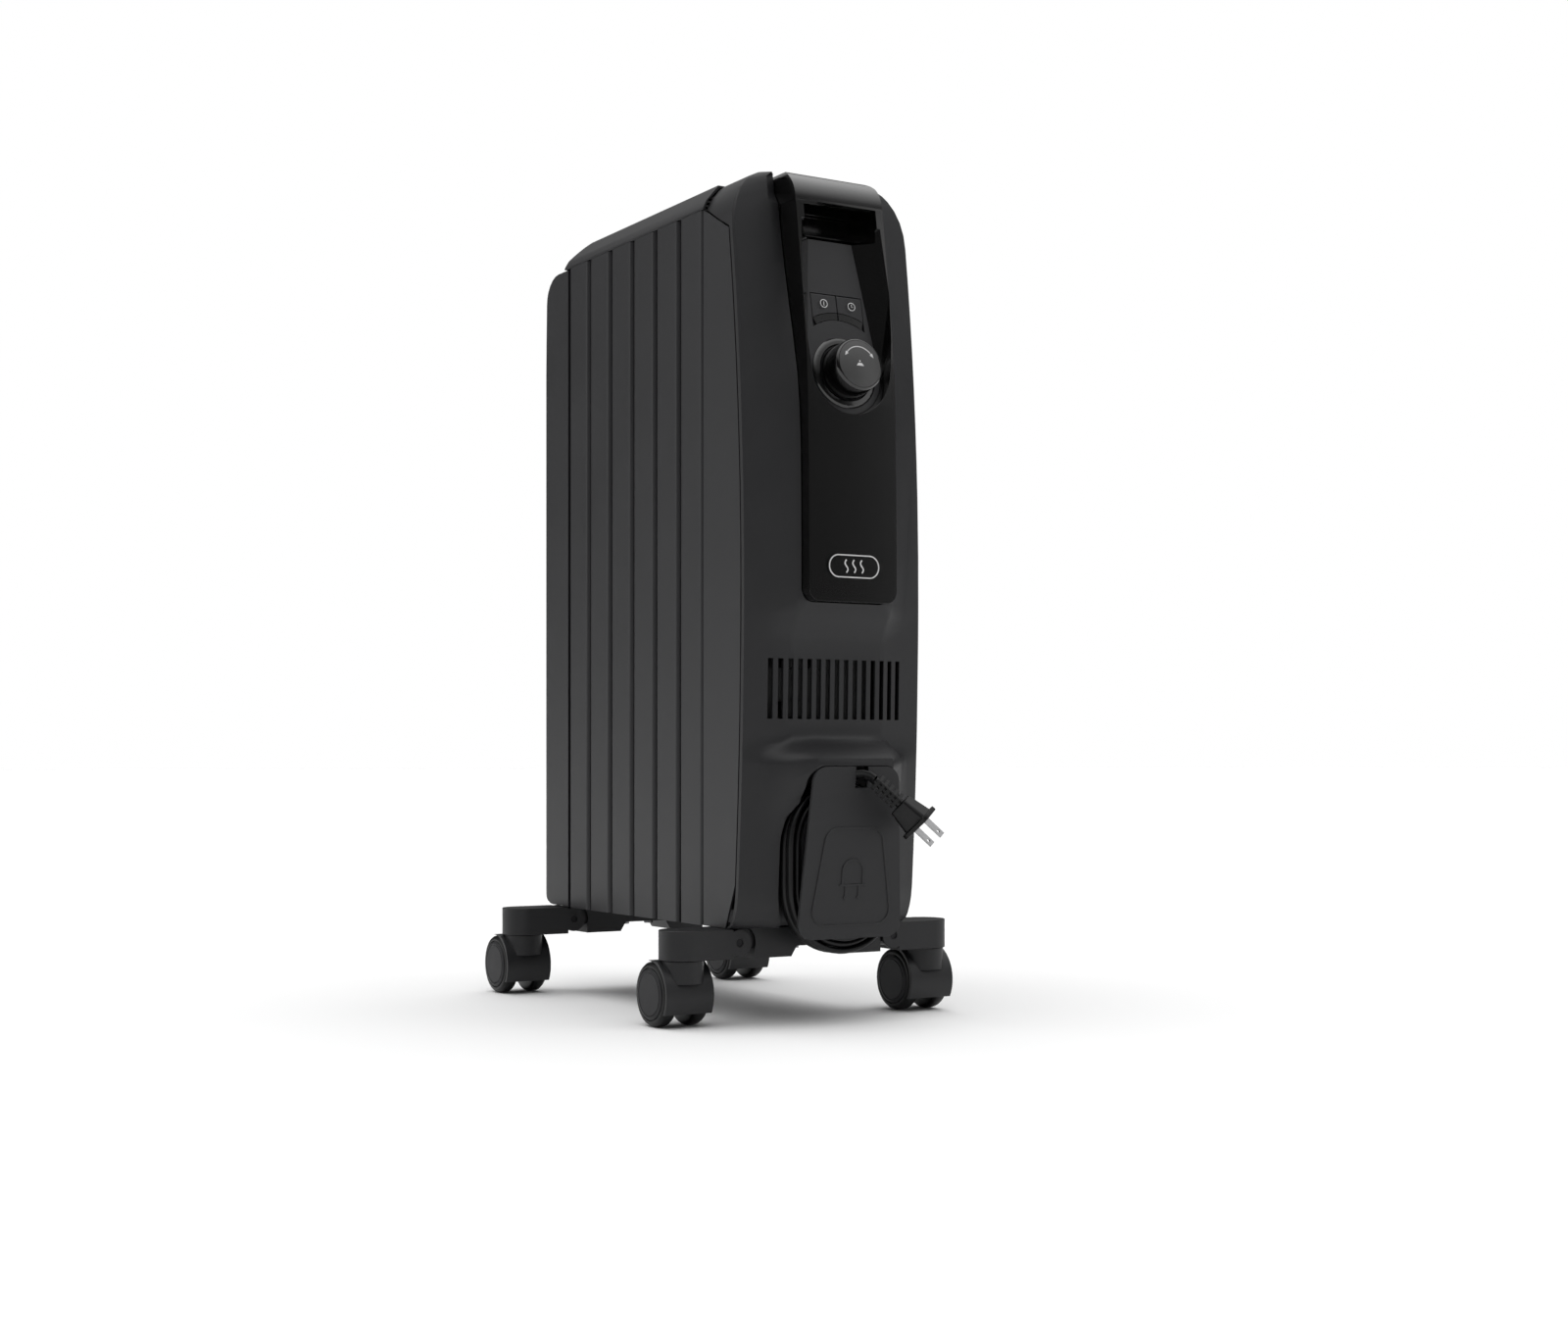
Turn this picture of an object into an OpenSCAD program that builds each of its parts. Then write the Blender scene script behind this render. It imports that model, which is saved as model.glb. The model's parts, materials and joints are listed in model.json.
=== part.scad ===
// Oil filled radiator heater on fold-out feet with twin-wheel castors.
// +Z is up, the floor is Z = 0, the control face looks along -Y, and X = 0 is the middle plane.
// Depths in the front housing are measured forwards from the front of the element stack.

/* [Radiator body] */
// Number of oil-filled elements in the stack
element_count = 6; // [4:1:8]
// Distance from one element to the next
element_pitch = 40; // [34:1:50]
// Width of the body across the elements
body_w = 160; // [150:1:200]
// Height of the flat outer panels
panel_h = 557; // [530:1:700]
// Height of the panels' lower edge above the floor
panel_z = 75; // [72:1:90]
// Gap between neighbouring outer panels
panel_gap = 3; // [2:0.5:5]
// Thickness of the panel sheet
panel_t = 1.5; // [1:0.1:2.5]
// Radius of the panels' folded edges
panel_r = 4; // [3:0.5:6]
// How far a panel's edge is folded back inside
panel_return = 12; // [8:1:20]
// Thickness of an element's oil channel web
web_t = 9; // [7:0.5:12]
// Height of the oil space in a web
channel_t = 5; // [3:0.5:6]
// Outer radius of the two headers that join the elements
header_r = 17; // [15:0.5:20]
// Radius of the oil way through the headers
header_bore_r = 10; // [9:0.5:12]
// Distance of each header from the end of the panels
header_inset = 45; // [35:1:60]

/* [Top frame and rear cover] */
// Height of the top frame above the panels
frame_h = 21; // [18:1:30]
// Wall of the moulded covers
wall = 2.5; // [2:0.1:3.5]
// Width of a hot-air outlet
outlet_w = 6; // [4:0.5:7]
// Depth of the rear cover behind the elements
rear_depth = 56; // [45:1:70]

/* [Front housing] */
// Depth of the housing side where it is deepest
housing_depth = 63; // [58:1:70]
// How far the housing leans back towards its shoulders
housing_lean = 18; // [12:1:20]
// How far the front face bows out across the width
face_bow = 6; // [3:0.5:8]
// Number of air vents in the front face
vent_count = 15; // [7:2:17]
// Distance from one vent to the next
vent_pitch = 8.3; // [7:0.1:9]
// Width of a vent
vent_w = 4.2; // [3:0.1:5]
// Height of a vent
vent_h = 46; // [30:1:50]

/* [Controls] */
// Half width of the control strip
strip_half = 39.7; // [36:0.1:43]
// Depth of the control strip's face at its lower end
strip_depth = 91.5; // [88:0.5:96]
// Lean of the control panel, in degrees
panel_lean = 11; // [8:0.5:13]
// Diameter of the thermostat knob
knob_d = 40; // [34:0.5:44]
// Height of the knob above the control panel
knob_h = 22; // [16:0.5:26]
// Radius of the knob's shaft
shaft_r = 3; // [2.5:0.1:4]
// Travel of a key's lower edge
key_travel = 1.2; // [0.8:0.1:1.6]
// Width of the badge plate
badge_w = 48; // [30:1:56]

/* [Mains cord] */
// Width of the flat cord
cord_w = 9; // [7:0.5:10]
// Thickness of the flat cord
cord_t = 5; // [4:0.5:6]
// Turns of cord that lie on each other
cord_layers = 2; // [1:1:2]
// Turns of cord that lie side by side
cord_rows = 2; // [1:1:2]
// Half width of the post that the cord is wound on
post_half_w = 39; // [36:0.5:42]
// Half height of the post
post_half_h = 57; // [50:0.5:60]

/* [Feet and castors] */
// Width of a foot bar, front to back
foot_w = 36; // [32:1:40]
// Height of a foot bar
foot_h = 23; // [21:0.5:24]
// Distance of the castor stems from the middle plane
stem_x = 111.7; // [105:0.1:130]
// Distance of the fold hinges from the middle plane
fold_x = 71; // [60:0.5:72]
// Diameter of a castor wheel
wheel_d = 50; // [41:0.1:50]
// Width of a castor wheel
wheel_w = 13; // [10:0.5:14]
// How far the wheels trail behind the castor's stem
wheel_trail = 14.8; // [12:0.1:18]
// Radius of a castor's axle
axle_r = 3; // [2:0.1:4]
// Radius of a castor's stem
stem_r = 5.5; // [4:0.1:6.5]

/* [Hidden] */

$fn = 48;
eps = 0.01;
joint_gap = 0.5;                       // seam between two fixed covers
move_gap = 0.4;                        // air between pieces that move past each other
running_gap = 0.05;                    // radial clearance of a pin in its bore

// Body: front and rear planes of the stack, so that the whole heater is centred on Y = 0
stack_l = element_count * element_pitch;
knob_reach = 100 + 3.8;                // front plane to the foremost edge of the knob
foot_offset = 25.1;                    // rear plane to the rear castor stems
front_foot_offset = 23.7;              // front plane to the front castor stems
wheel_reach = foot_offset + wheel_trail + wheel_d / 2;
front_y = -(stack_l + knob_reach + wheel_reach) / 2 + knob_reach;
rear_y = front_y + stack_l;
top_z = panel_z + panel_h;
half_w = body_w / 2;

// Front housing levels
deep_z = panel_z + 265;                // level where the housing is deepest
shoulder_z = top_z - 21;               // level where the shoulders start
cap_z = top_z + 24;                    // top of the housing
strip_z = panel_z + 249;               // lower end of the control strip
vent_z = panel_z + 160;                // lower end of the vents
hood_z = panel_z + 145;                // top of the hood over the cord
foot_round = 30;                       // height of the rounding at the housing's foot
low_lean = 11;                         // how far the housing leans back towards its foot
slot_half = strip_half + 0.6;          // half width of the slot that the strip sits in
handle_back = 20;                      // depth where the handle bar ends
shield_depth = 9;                      // depth of the heat shield

// Controls: a frame on the leaning control panel, with its origin under the knob
knob_z = top_z - 132;
knob_depth = 78;
recess_r = 36;                         // round lower end of the control recess
panel_top = 107;                       // height of the control panel above the knob
key_r = 49;                            // radius of the keys' lower edge round the knob
key_top = 63;
key_half = 23;
key_t = 2.5;                           // thickness of the control panel and the keys
board_gap = 14;                        // control panel's face to the board

// Cord
coil_z = panel_z + 47;
coil_back = 61.5;                      // depth of the coil's back
bay_half_w = post_half_w + 12.5;       // half width of the bay that the coil sits in
coil_w = cord_rows * cord_w + 0.4;
gland_depth = coil_back + 1.5 * cord_w + 0.3;
coil_t = cord_layers * cord_t + 0.5;
gland_x = post_half_w + cord_t / 2 + 0.3;
cover_lean = 5;
cover_depth = 97;                      // depth of the cord cover's face at its top
cover_top_z = panel_z + 123.5;
cover_h = 131.5;
cover_t = 2.5;
screw_r = 1.6;                         // bore for the cord cover's screws, put in from behind
screw_tip = 1.2;                       // cover left in front of a screw's tip
screw_head = 32.6;                     // cover's face to a screw's head
// The free end of the cord: from the coil's top, through the notch, to the strain relief.
// Each point is [across, depth from the front plane, height above the panels' lower edge].
tail_route = [[-24, 76, 105], [-18, 78, 109], [-12, 81, 113], [-6, 86, 116], [1, 91, 118.5],
    [5, 97, 119], [8, 101.5, 117.5], [10, 104.5, 113.5]];
plug_at = [10, 104.5, 113.5];
plug_dir = [0.62, 0.38, -0.69];        // across, forwards, up
plug_roll = 38;                        // turn of the plug about its own line
relief_l = 27;
plug_l = 22;

// Feet
foot_z = panel_z - 0.4 - foot_h;       // underside of the foot bars
fold_z = foot_z + 12.4;
knuckle_r = panel_z - fold_z - joint_gap;
bar_cut_r = 13.8;                      // clears the arm's corners as it folds
swing_room = fold_z - foot_z + move_gap;
neck_drop = 4.8;                       // how far the pin necks reach below the pins
collar_r = 16.5;
hood_r = wheel_d / 2 + 3.3;
tread_press = 0.1;                     // how far the floor presses a tread in
hood_foot = 11;                        // height of the castor hood's lower edge
wheel_x = 14.5;                        // stem to the middle of a wheel, along the axle
front_stem_y = front_y - front_foot_offset;
rear_stem_y = rear_y + foot_offset;

charcoal = [0.27, 0.27, 0.285];
gloss_black = [0.03, 0.03, 0.035];
steel = [0.7, 0.7, 0.72];

function depth_y(d) = front_y - d;
function clamp01(t) = max(0, min(1, t));
function smooth(t) = let (c = clamp01(t)) c * c * (3 - 2 * c);
function mix(a, b, t) = a + (b - a) * t;

// Depth of the housing's side edge at height z
function crease(z) =
    housing_depth
    - (z > deep_z ? housing_lean * pow((z - deep_z) / (shoulder_z - deep_z), 2)
                  : low_lean * pow((deep_z - z) / (deep_z - panel_z), 2))
    - 12 * (1 - sqrt(1 - pow(clamp01((panel_z + foot_round - z) / foot_round), 2)));

// Half width of the housing at height z: full below the shoulders, round above them
function cover_half(z) =
    let (t = clamp01((z - shoulder_z) / (cap_z - shoulder_z)))
    half_w - 36 * (1 - sqrt(1 - pow(0.97 * t, 2.2)));

// Depth of the control strip's face at height z
function strip_face(z) =
    let (t = (z - strip_z) / (knob_z - 5 - strip_z), u = (z - knob_z + 5) / (top_z - 2 - knob_z + 5))
    z < knob_z - 5 ? strip_depth - 2.5 * t * t
                   : strip_depth - 2.5 - 17 * (u < 0 ? 0 : pow(u, 1.15));

// Bow of the front face at height z, which is flat under the hood
function bow(z) = face_bow * smooth((z - hood_z + 20) / 30);

// Depth of the cover beside the strip
function strip_edge(z) =
    let (rise = smooth((z - strip_z + 30) / 30),
         lip = mix(10, 25, smooth((z - knob_z + 60) / 190)),
         curl = z > top_z - 2 ? 40 * pow((z - top_z + 2) / 26, 2) : 0)
    mix(crease(z) + bow(z), strip_face(min(z, top_z - 2)) - lip - curl, rise);

// How much of the hood stands at height z, from none above it to all of it round the cord
function hood_part(z) = 1 - pow(smooth((z - hood_z + 20) / 24), 1.5);

// Depth of the hood at height z, where it is to reach its full depth over the cord cover
function hood_depth(z, full) = mix(crease(z) + 12, full, smooth((z - hood_z + 70) / 50));

// One outline of the front cover at height z, drawn t inside its outer face
function cover_row(z, t, back) =
    let (w = cover_half(z), c = crease(z),
         rise = smooth((z - strip_z + 30) / 30),
         s = smooth((z - knob_z + 30) / 85),
         foot = mix(w * 0.78, min(w - 1.5, w * (0.83 + 0.15 * (z - strip_z - 25) / 146)), rise),
         e = max(strip_edge(z), c),
         foot_d = mix(c + bow(z) * (1 - pow(foot / half_w, 2)), c + 2, rise),
         shelf = min(w - 8, mix(slot_half + 4, slot_half + 10, s)),
         line_d = mix(foot_d, e, (foot - shelf) / (foot - slot_half)),
         shelf_d = mix(line_d, c + 7, s),
         k = hood_part(z),
         half = [[w - t, c - t * 0.6],
             [mix(foot, 69, k) - t * 0.7, mix(foot_d, c + 4, k) - t],
             [mix(shelf, 60, k), mix(shelf_d, c + 8.5, k) - t],
             [mix(slot_half - 0.8, 50, k), mix(e, hood_depth(z, cover_depth - 14), k) - t],
             [mix(slot_half / 2, 34, k), mix(e, hood_depth(z, cover_depth - 1), k) - t]])
    concat([[w - t, back]], half, [for (i = [4:-1:0]) [-half[i][0], half[i][1]]], [[t - w, back]]);

// Lofts a closed solid through rows of [across, depth] outlines at the heights in levels
module loft(levels, rows) {
    n = len(rows[0]);
    last = len(rows) - 1;
    points = [for (i = [0:last]) for (p = rows[i]) [p[0], depth_y(p[1]), levels[i]]];
    sides = [for (i = [0:last - 1]) for (j = [0:n - 1])
        let (a = i * n + j, b = i * n + (j + 1) % n)
        each [[a, b, a + n], [b, b + n, a + n]]];
    // each cap is a fan from its two rear corners
    half = n / 2;
    cap = concat([for (j = [1:half - 1]) [0, j, j + 1]], [[0, half, n - 1]],
        [for (j = [half:n - 3]) [n - 1, j, j + 1]]);
    caps = [for (t = cap) each [[t[2], t[1], t[0]], [for (j = t) last * n + j]]];
    polyhedron(points = points, faces = concat(sides, caps), convexity = 6);
}

// Puts its children on the leaning control panel: X across, Z up the panel, -Y outwards
module on_panel() {
    translate([0, depth_y(knob_depth), knob_z])
        rotate([-panel_lean, 0, 0])
            children();
}

// Extrudes a [Y, Z] profile along X, centred on the middle plane
module across(width) {
    rotate([90, 0, 90])
        translate([0, 0, -width / 2])
            linear_extrude(width)
                children();
}

// Extrudes an [X, Z] profile from the depth d0 to the deeper d1
module forwards(d0, d1) {
    translate([0, depth_y(d0), 0])
        rotate([90, 0, 0])
            linear_extrude(d1 - d0)
                children();
}

module rounded(size, r) {
    offset(r)
        square([size[0] - 2 * r, size[1] - 2 * r], center = true);
}

// ---- Radiator body ----

module panel_section() {
    outer = [body_w, element_pitch - panel_gap];
    difference() {
        rounded(outer, panel_r);
        rounded([outer[0] - 2 * panel_t, outer[1] - 2 * panel_t], panel_r - panel_t);
        square([body_w - 2 * panel_return, outer[1] + 1], center = true);
    }
}

module fin(i) {
    mid_y = front_y + (i - 0.5) * element_pitch;
    last = i == element_count;
    header_z = [panel_z + header_inset, top_z - header_inset];
    channel_w = body_w - 60;
    color(charcoal)
        translate([0, mid_y, 0])
            difference() {
                union() {
                    translate([0, 0, panel_z])
                        linear_extrude(panel_h)
                            panel_section();
                    translate([-half_w + panel_t / 2, -web_t / 2, panel_z + 12])
                        cube([body_w - panel_t, web_t, panel_h - 24]);
                    for (z = header_z)
                        translate([0, element_pitch / 2, z])
                            rotate([90, 0, 0])
                                cylinder(r = header_r, h = element_pitch);
                }
                // oil way along the headers, closed at the last element
                for (z = header_z)
                    translate([0, last ? channel_t / 2 : element_pitch / 2 + 1, z])
                        rotate([90, 0, 0])
                            cylinder(r = header_bore_r, h = element_pitch + 2);
                // oil channels in the web, joined at both headers
                for (x = [-1.5:1:1.5])
                    translate([x * channel_w / 4 - channel_w / 10, -channel_t / 2, header_z[0]])
                        cube([channel_w / 5, channel_t, header_z[1] - header_z[0]]);
                for (z = header_z)
                    translate([-channel_w / 2, -channel_t / 2, z - header_bore_r / 2])
                        cube([channel_w, channel_t, header_bore_r]);
            }
}

module frame_section(inset) {
    polygon([[-half_w + inset, top_z + 0.4 - inset], [-half_w + inset, top_z + 1.5],
        [-half_w + 3 + inset * 0.8, top_z + 8], [-half_w + 14 + inset * 0.5, top_z + frame_h - inset],
        [half_w - 14 - inset * 0.5, top_z + frame_h - inset], [half_w - 3 - inset * 0.8, top_z + 8],
        [half_w - inset, top_z + 1.5], [half_w - inset, top_z + 0.4 - inset]]);
}

// Side profile of the top frame, which rolls down at the rear
module frame_profile(inset) {
    roll = frame_h * 1.6;
    end = rear_y + 8 - inset;
    steps = 8;
    polygon(concat([[front_y + joint_gap - (inset > 0 ? 2 : 0), top_z - inset * 2]],
        [[front_y + joint_gap - (inset > 0 ? 2 : 0), top_z + frame_h + 1]],
        [for (k = [0:steps]) let (a = 90 * k / steps)
            [end - roll + roll * sin(a), top_z + frame_h * cos(a) - inset * cos(a) + 0.4]],
        [[end, top_z - inset * 2]]));
}

module top_frame() {
    outlet_l = body_w / 2 - 30;
    outlets = floor((stack_l - 40) / (outlet_w * 2));
    color(charcoal)
        difference() {
            intersection() {
                forwards(-stack_l - 20, 0)
                    frame_section(0);
                across(body_w + 10)
                    frame_profile(0);
            }
            intersection() {
                forwards(-stack_l - 20, 2)
                    frame_section(wall);
                across(body_w + 10)
                    frame_profile(wall);
            }
            for (k = [0:outlets - 1], side = [-1, 1])
                translate([side * (outlet_l / 2 + 6) - outlet_l / 2,
                           front_y + 14 + k * outlet_w * 2, top_z + frame_h - 8])
                    cube([outlet_l, outlet_w, 20]);
        }
}

// Side profile of the rear cover, drawn inset inside its outer face
module rear_profile(inset) {
    sag = 12;
    top_r = 24;
    low_r = 20;
    deep = rear_y + rear_depth - inset;
    z0 = panel_z + 1 + inset;
    z1 = top_z - 1 - inset;
    steps = 6;
    polygon(concat([[rear_y + joint_gap - (inset > 0 ? 2 : 0), z0]],
        [for (k = [0:steps]) let (a = 90 * k / steps)
            [deep - 5 - low_r + low_r * sin(a), z0 + low_r - low_r * cos(a)]],
        [[deep - 1, z0 + 90], [deep, z0 + 160], [deep, z0 + 290], [deep - 4, z1 - 150],
         [deep - 10, z1 - 66]],
        [for (k = [0:steps]) let (a = 90 * k / steps)
            [deep - sag - top_r + top_r * cos(a), z1 - top_r + top_r * sin(a)]],
        [[rear_y + joint_gap - (inset > 0 ? 2 : 0), z1]]));
}

module rear_plan(inset) {
    r = 14;
    translate([0, rear_y])
        offset(r)
            offset(-r)
                square([body_w - 2 * inset, 2 * (rear_depth - inset)], center = true);
}

module rear_cover() {
    color(charcoal)
        difference() {
            intersection() {
                across(body_w)
                    rear_profile(0);
                linear_extrude(top_z)
                    rear_plan(0);
            }
            intersection() {
                across(body_w - 2 * wall)
                    rear_profile(wall);
                linear_extrude(top_z)
                    rear_plan(wall);
            }
            // cool-air inlets near the foot
            for (k = [-5:5])
                translate([k * vent_pitch - vent_w / 2, rear_y + rear_depth - 30, panel_z + 45])
                    cube([vent_w, 60, vent_h]);
        }
}

// ---- Front housing ----

cover_levels = [panel_z, panel_z + wall + 0.5, panel_z + 7, panel_z + 14, panel_z + 21,
    panel_z + foot_round, panel_z + 65, panel_z + 85, panel_z + 100, panel_z + 113,
    hood_z - 20, hood_z - 15, hood_z - 10, hood_z - 5, hood_z - 1, hood_z + 4, hood_z + 12,
    strip_z - 30, strip_z - 20, strip_z - 10, strip_z, strip_z + 40, deep_z + 70,
    knob_z - 60, knob_z - 30, knob_z, knob_z + 28, knob_z + 56, knob_z + 84,
    shoulder_z, shoulder_z + 11, shoulder_z + 21, top_z + 9, top_z + 16,
    top_z + 20, cap_z];

// Where the cover starts at height z: at the collar's edge, and above it over the whole depth
function cover_back(z) =
    z <= shoulder_z ? crease(z) - 4 : mix(crease(shoulder_z) - 4, 0.5, clamp01((z - shoulder_z) / 21));

module collar_profile() {
    steps = 16;
    polygon(concat([[depth_y(joint_gap), panel_z]],
        [for (k = [0:steps]) let (z = mix(panel_z, shoulder_z - 1, k / steps))
            [depth_y(crease(z) - 5.5), z]],
        [[depth_y(joint_gap), top_z - 1]]));
}

module front_collar() {
    color(charcoal)
        difference() {
            across(body_w)
                collar_profile();
            translate([-half_w + panel_t, depth_y(housing_depth + 10), panel_z + panel_t])
                cube([body_w - 2 * panel_t, housing_depth + 20, panel_h]);
        }
}

module vents() {
    for (k = [0:vent_count - 1])
        translate([(k - (vent_count - 1) / 2) * vent_pitch - vent_w / 2,
                   depth_y(housing_depth + 20), vent_z])
            cube([vent_w, 30, vent_h]);
}

// The bay under the hood that the wound cord and its cover sit in, drawn grow outside it
module cord_bay(grow) {
    difference() {
        union() {
            forwards(30, 130)
                translate([0, coil_z])
                    racetrack(bay_half_w + grow, bay_half_w + post_half_h - post_half_w + grow);
            forwards(coil_back - grow, 130)
                translate([0, cover_top_z])
                    cover_outline(0.8 + grow);
        }
        across(body_w)
            low_face_profile(-grow);
    }
}

module front_cover() {
    color(charcoal)
        difference() {
            loft(cover_levels, [for (z = cover_levels) cover_row(z, 0, cover_back(z))]);
            difference() {
                loft([for (z = cover_levels) z == panel_z ? z + wall : z == cap_z ? z - wall : z],
                     [for (z = cover_levels) cover_row(z, wall, cover_back(z) - 2)]);
                cord_bay(wall);
            }
            cord_bay(0);
            // slot for the control strip, open through the top
            forwards(handle_back - joint_gap, 120)
                hull() {
                    for (side = [-1, 1])
                        translate([side * (slot_half - 10), strip_z + 9.4])
                            circle(10);
                    translate([-slot_half, cap_z])
                        square([2 * slot_half, 1]);
                }
            vents();
            gland_root(0.3);
        }
}

module heat_shield() {
    color(steel)
        difference() {
            translate([0.1 + panel_t - half_w, depth_y(shield_depth), panel_z + 12])
                cube([body_w - 2 * panel_t - 0.2, 0.8, panel_h - 40]);
            for (z = [panel_z + header_inset, top_z - header_inset])
                translate([0, depth_y(0), z])
                    rotate([90, 0, 0])
                        cylinder(r = header_r + 8, h = 20);
        }
}

// Side profile of the control strip with its handle, drawn inset inside its outer face
module strip_profile(inset, z0, z1) {
    rise = [for (k = [0:10]) mix(strip_z, top_z - 2, k / 10)];
    curl = [for (a = [0:10:90]) [42 + 29.5 * cos(a), top_z - 2 + 27 * sin(a)]];
    outer = concat([for (z = rise) [strip_face(z), z]], curl);
    intersection() {
        polygon(concat([[depth_y(handle_back), strip_z]],
            [for (p = outer) [depth_y(p[0] - inset), p[1] - (p[1] > top_z - 2 ? inset : 0)]],
            [[depth_y(handle_back), top_z + 25 - inset]]));
        translate([-500, z0])
            square([1000, z1 - z0]);
    }
}

// Front outline of the control strip with its round corners
module strip_outline(inset) {
    w = strip_half - inset;
    hull() {
        for (side = [-1, 1])
            translate([side * (w - 9), strip_z + 9 + inset])
                circle(9);
        for (side = [-1, 1])
            translate([side * (w - 8), top_z + 17 - inset])
                circle(8);
    }
}

module recess_outline(grow) {
    hull() {
        circle(33 + grow);
        translate([-20 - grow, 0])
            square([40 + 2 * grow, panel_top + grow]);
    }
}

// Tapered pocket from the strip's face down to the control panel
module recess_pocket() {
    on_panel()
        hull() {
            rotate([90, 0, 0])
                linear_extrude(eps)
                    recess_outline(0);
            translate([0, -30, 0])
                rotate([90, 0, 0])
                    linear_extrude(eps)
                        hull() {
                            circle(recess_r + 5);
                            translate([-46, 60])
                                square([92, 60]);
                        }
        }
}

handle_z = top_z - 1.5;                // underside of the handle bar

module control_fascia() {
    color(gloss_black)
        difference() {
            intersection() {
                across(2 * strip_half)
                    strip_profile(0, strip_z, handle_z - 0.2);
                forwards(handle_back, 130)
                    strip_outline(0);
                translate([-100, depth_y(150), 0])
                    cube([200, 100, 1000]);
            }
            // hollow behind the lower strip
            difference() {
                intersection() {
                    across(2 * (strip_half - wall))
                        strip_profile(wall, strip_z, handle_z);
                    forwards(handle_back, 130)
                        strip_outline(wall);
                }
                translate([-100, depth_y(150), knob_z - recess_r - 8])
                    cube([200, 200, 400]);
            }
            recess_pocket();
            // seat for the control panel, open behind
            on_panel()
                rotate([-90, 0, 0])
                    mirror([0, 1, 0])
                        linear_extrude(60)
                            recess_outline(0.3);
            // finger opening above the control panel
            translate([-33, depth_y(130), knob_z + panel_top - 2])
                cube([66, 100, 60]);
        }
}

module handle_bar() {
    color(gloss_black)
        difference() {
            intersection() {
                across(2 * strip_half)
                    strip_profile(0, handle_z, top_z + 40);
                forwards(handle_back, 130)
                    strip_outline(0);
            }
            // hollow for the fingers
            intersection() {
                across(2 * strip_half - 12)
                    strip_profile(8, handle_z - 10, top_z + 40);
                translate([-100, depth_y(100), handle_z - 10])
                    cube([200, 65, 40]);
            }
        }
}

pocket_z = knob_z + panel_top + 2;
pocket_back = 30;

module handle_pocket() {
    color(gloss_black)
        difference() {
            translate([-36, depth_y(49), pocket_z])
                cube([72, 49 - pocket_back + 2, handle_z - 0.3 - pocket_z]);
            translate([-34, depth_y(60), pocket_z + 2])
                cube([68, 60 - pocket_back - 0.2, 60]);
        }
}

module key_zone(grow) {
    difference() {
        translate([-key_half - grow, 0])
            square([2 * (key_half + grow), key_top + grow]);
        circle(key_r - 6 - grow, $fn = 96);
    }
}

module display_panel() {
    color([0.2, 0.2, 0.21])
        on_panel()
            difference() {
                rotate([-90, 0, 0])
                    mirror([0, 1, 0])
                        linear_extrude(key_t)
                            difference() {
                                recess_outline(0);
                                key_zone(move_gap);
                            }
                translate([0, 10, 0])
                    rotate([90, 0, 0])
                        cylinder(r = shaft_r + 3, h = 20);
            }
}

// One paddle key, hinged at its upper edge, with a lowered lip under its round lower edge
module key(side) {
    color([0.22, 0.22, 0.23])
        on_panel()
            rotate([-90, 0, 0])
                mirror([0, 1, 0])
                    difference() {
                        union() {
                            linear_extrude(key_t)
                                difference() {
                                    translate([side > 0 ? 0.4 : -key_half, 0])
                                        square([key_half - 0.4, key_top - key_t / 2]);
                                    circle(key_r, $fn = 96);
                                }
                            // round upper edge that the key turns on
                            translate([side > 0 ? 0.4 : -key_half, key_top - key_t / 2, key_t / 2])
                                rotate([0, 90, 0])
                                    cylinder(r = key_t / 2, h = key_half - 0.4);
                            translate([0, 0, key_t - 0.8])
                                linear_extrude(2)
                                    difference() {
                                        translate([side > 0 ? 0.4 : -key_half, 0])
                                            square([key_half - 0.4, key_top - 8]);
                                        circle(key_r - 6, $fn = 96);
                                    }
                            // stem over its switch
                            translate([side * 12.6, 54, key_t])
                                cylinder(r = 1.5, h = 5.6);
                        }
                        // print recess in the middle of the key
                        translate([side * 12.6, 55, -1])
                            difference() {
                                cylinder(r = 3.4, h = 1.2);
                                translate([0, 0, -1])
                                    cylinder(r = 2.7, h = 4);
                            }
                    }
}

module power_key() {
    key(-1);
}

module timer_key() {
    key(1);
}

module thermostat_knob() {
    r = knob_d / 2;
    color([0.15, 0.15, 0.16])
        on_panel()
            rotate([90, 0, 0])
                difference() {
                    union() {
                        translate([0, 0, 0.6])
                            rotate_extrude($fn = 96)
                                polygon([[0, 0], [r + 1.5, 0], [r + 0.6, knob_h - 3], [r - 0.8, knob_h - 0.9],
                                    [r - 1.6, knob_h - 0.6], [0, knob_h - 0.6]]);
                        // shaft down to the encoder
                        translate([0, 0, -board_gap + 2])
                            cylinder(r = shaft_r, h = board_gap);
                    }
                    // moulded from behind
                    difference() {
                        cylinder(r = r - 2, h = knob_h - 3);
                        translate([0, 0, -1])
                            cylinder(r = shaft_r + 2, h = knob_h);
                    }
                }
}

module knob_ring() {
    inner = knob_d / 2 + 2.2;
    color(steel)
        on_panel()
            rotate([90, 0, 0])
                rotate_extrude($fn = 96)
                    polygon([[inner, 0], [inner + 6, 0], [inner + 6, 0.8], [inner + 4.5, 2], [inner + 1, 2.4],
                        [inner, 1.6]]);
}

module rotary_encoder() {
    color([0.55, 0.55, 0.55])
        on_panel()
            difference() {
                translate([-6.5, board_gap - 7, -6.5])
                    cube([13, 7, 13]);
                translate([0, board_gap + 1, 0])
                    rotate([90, 0, 0])
                        cylinder(r = shaft_r + running_gap, h = 12);
            }
}

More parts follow.
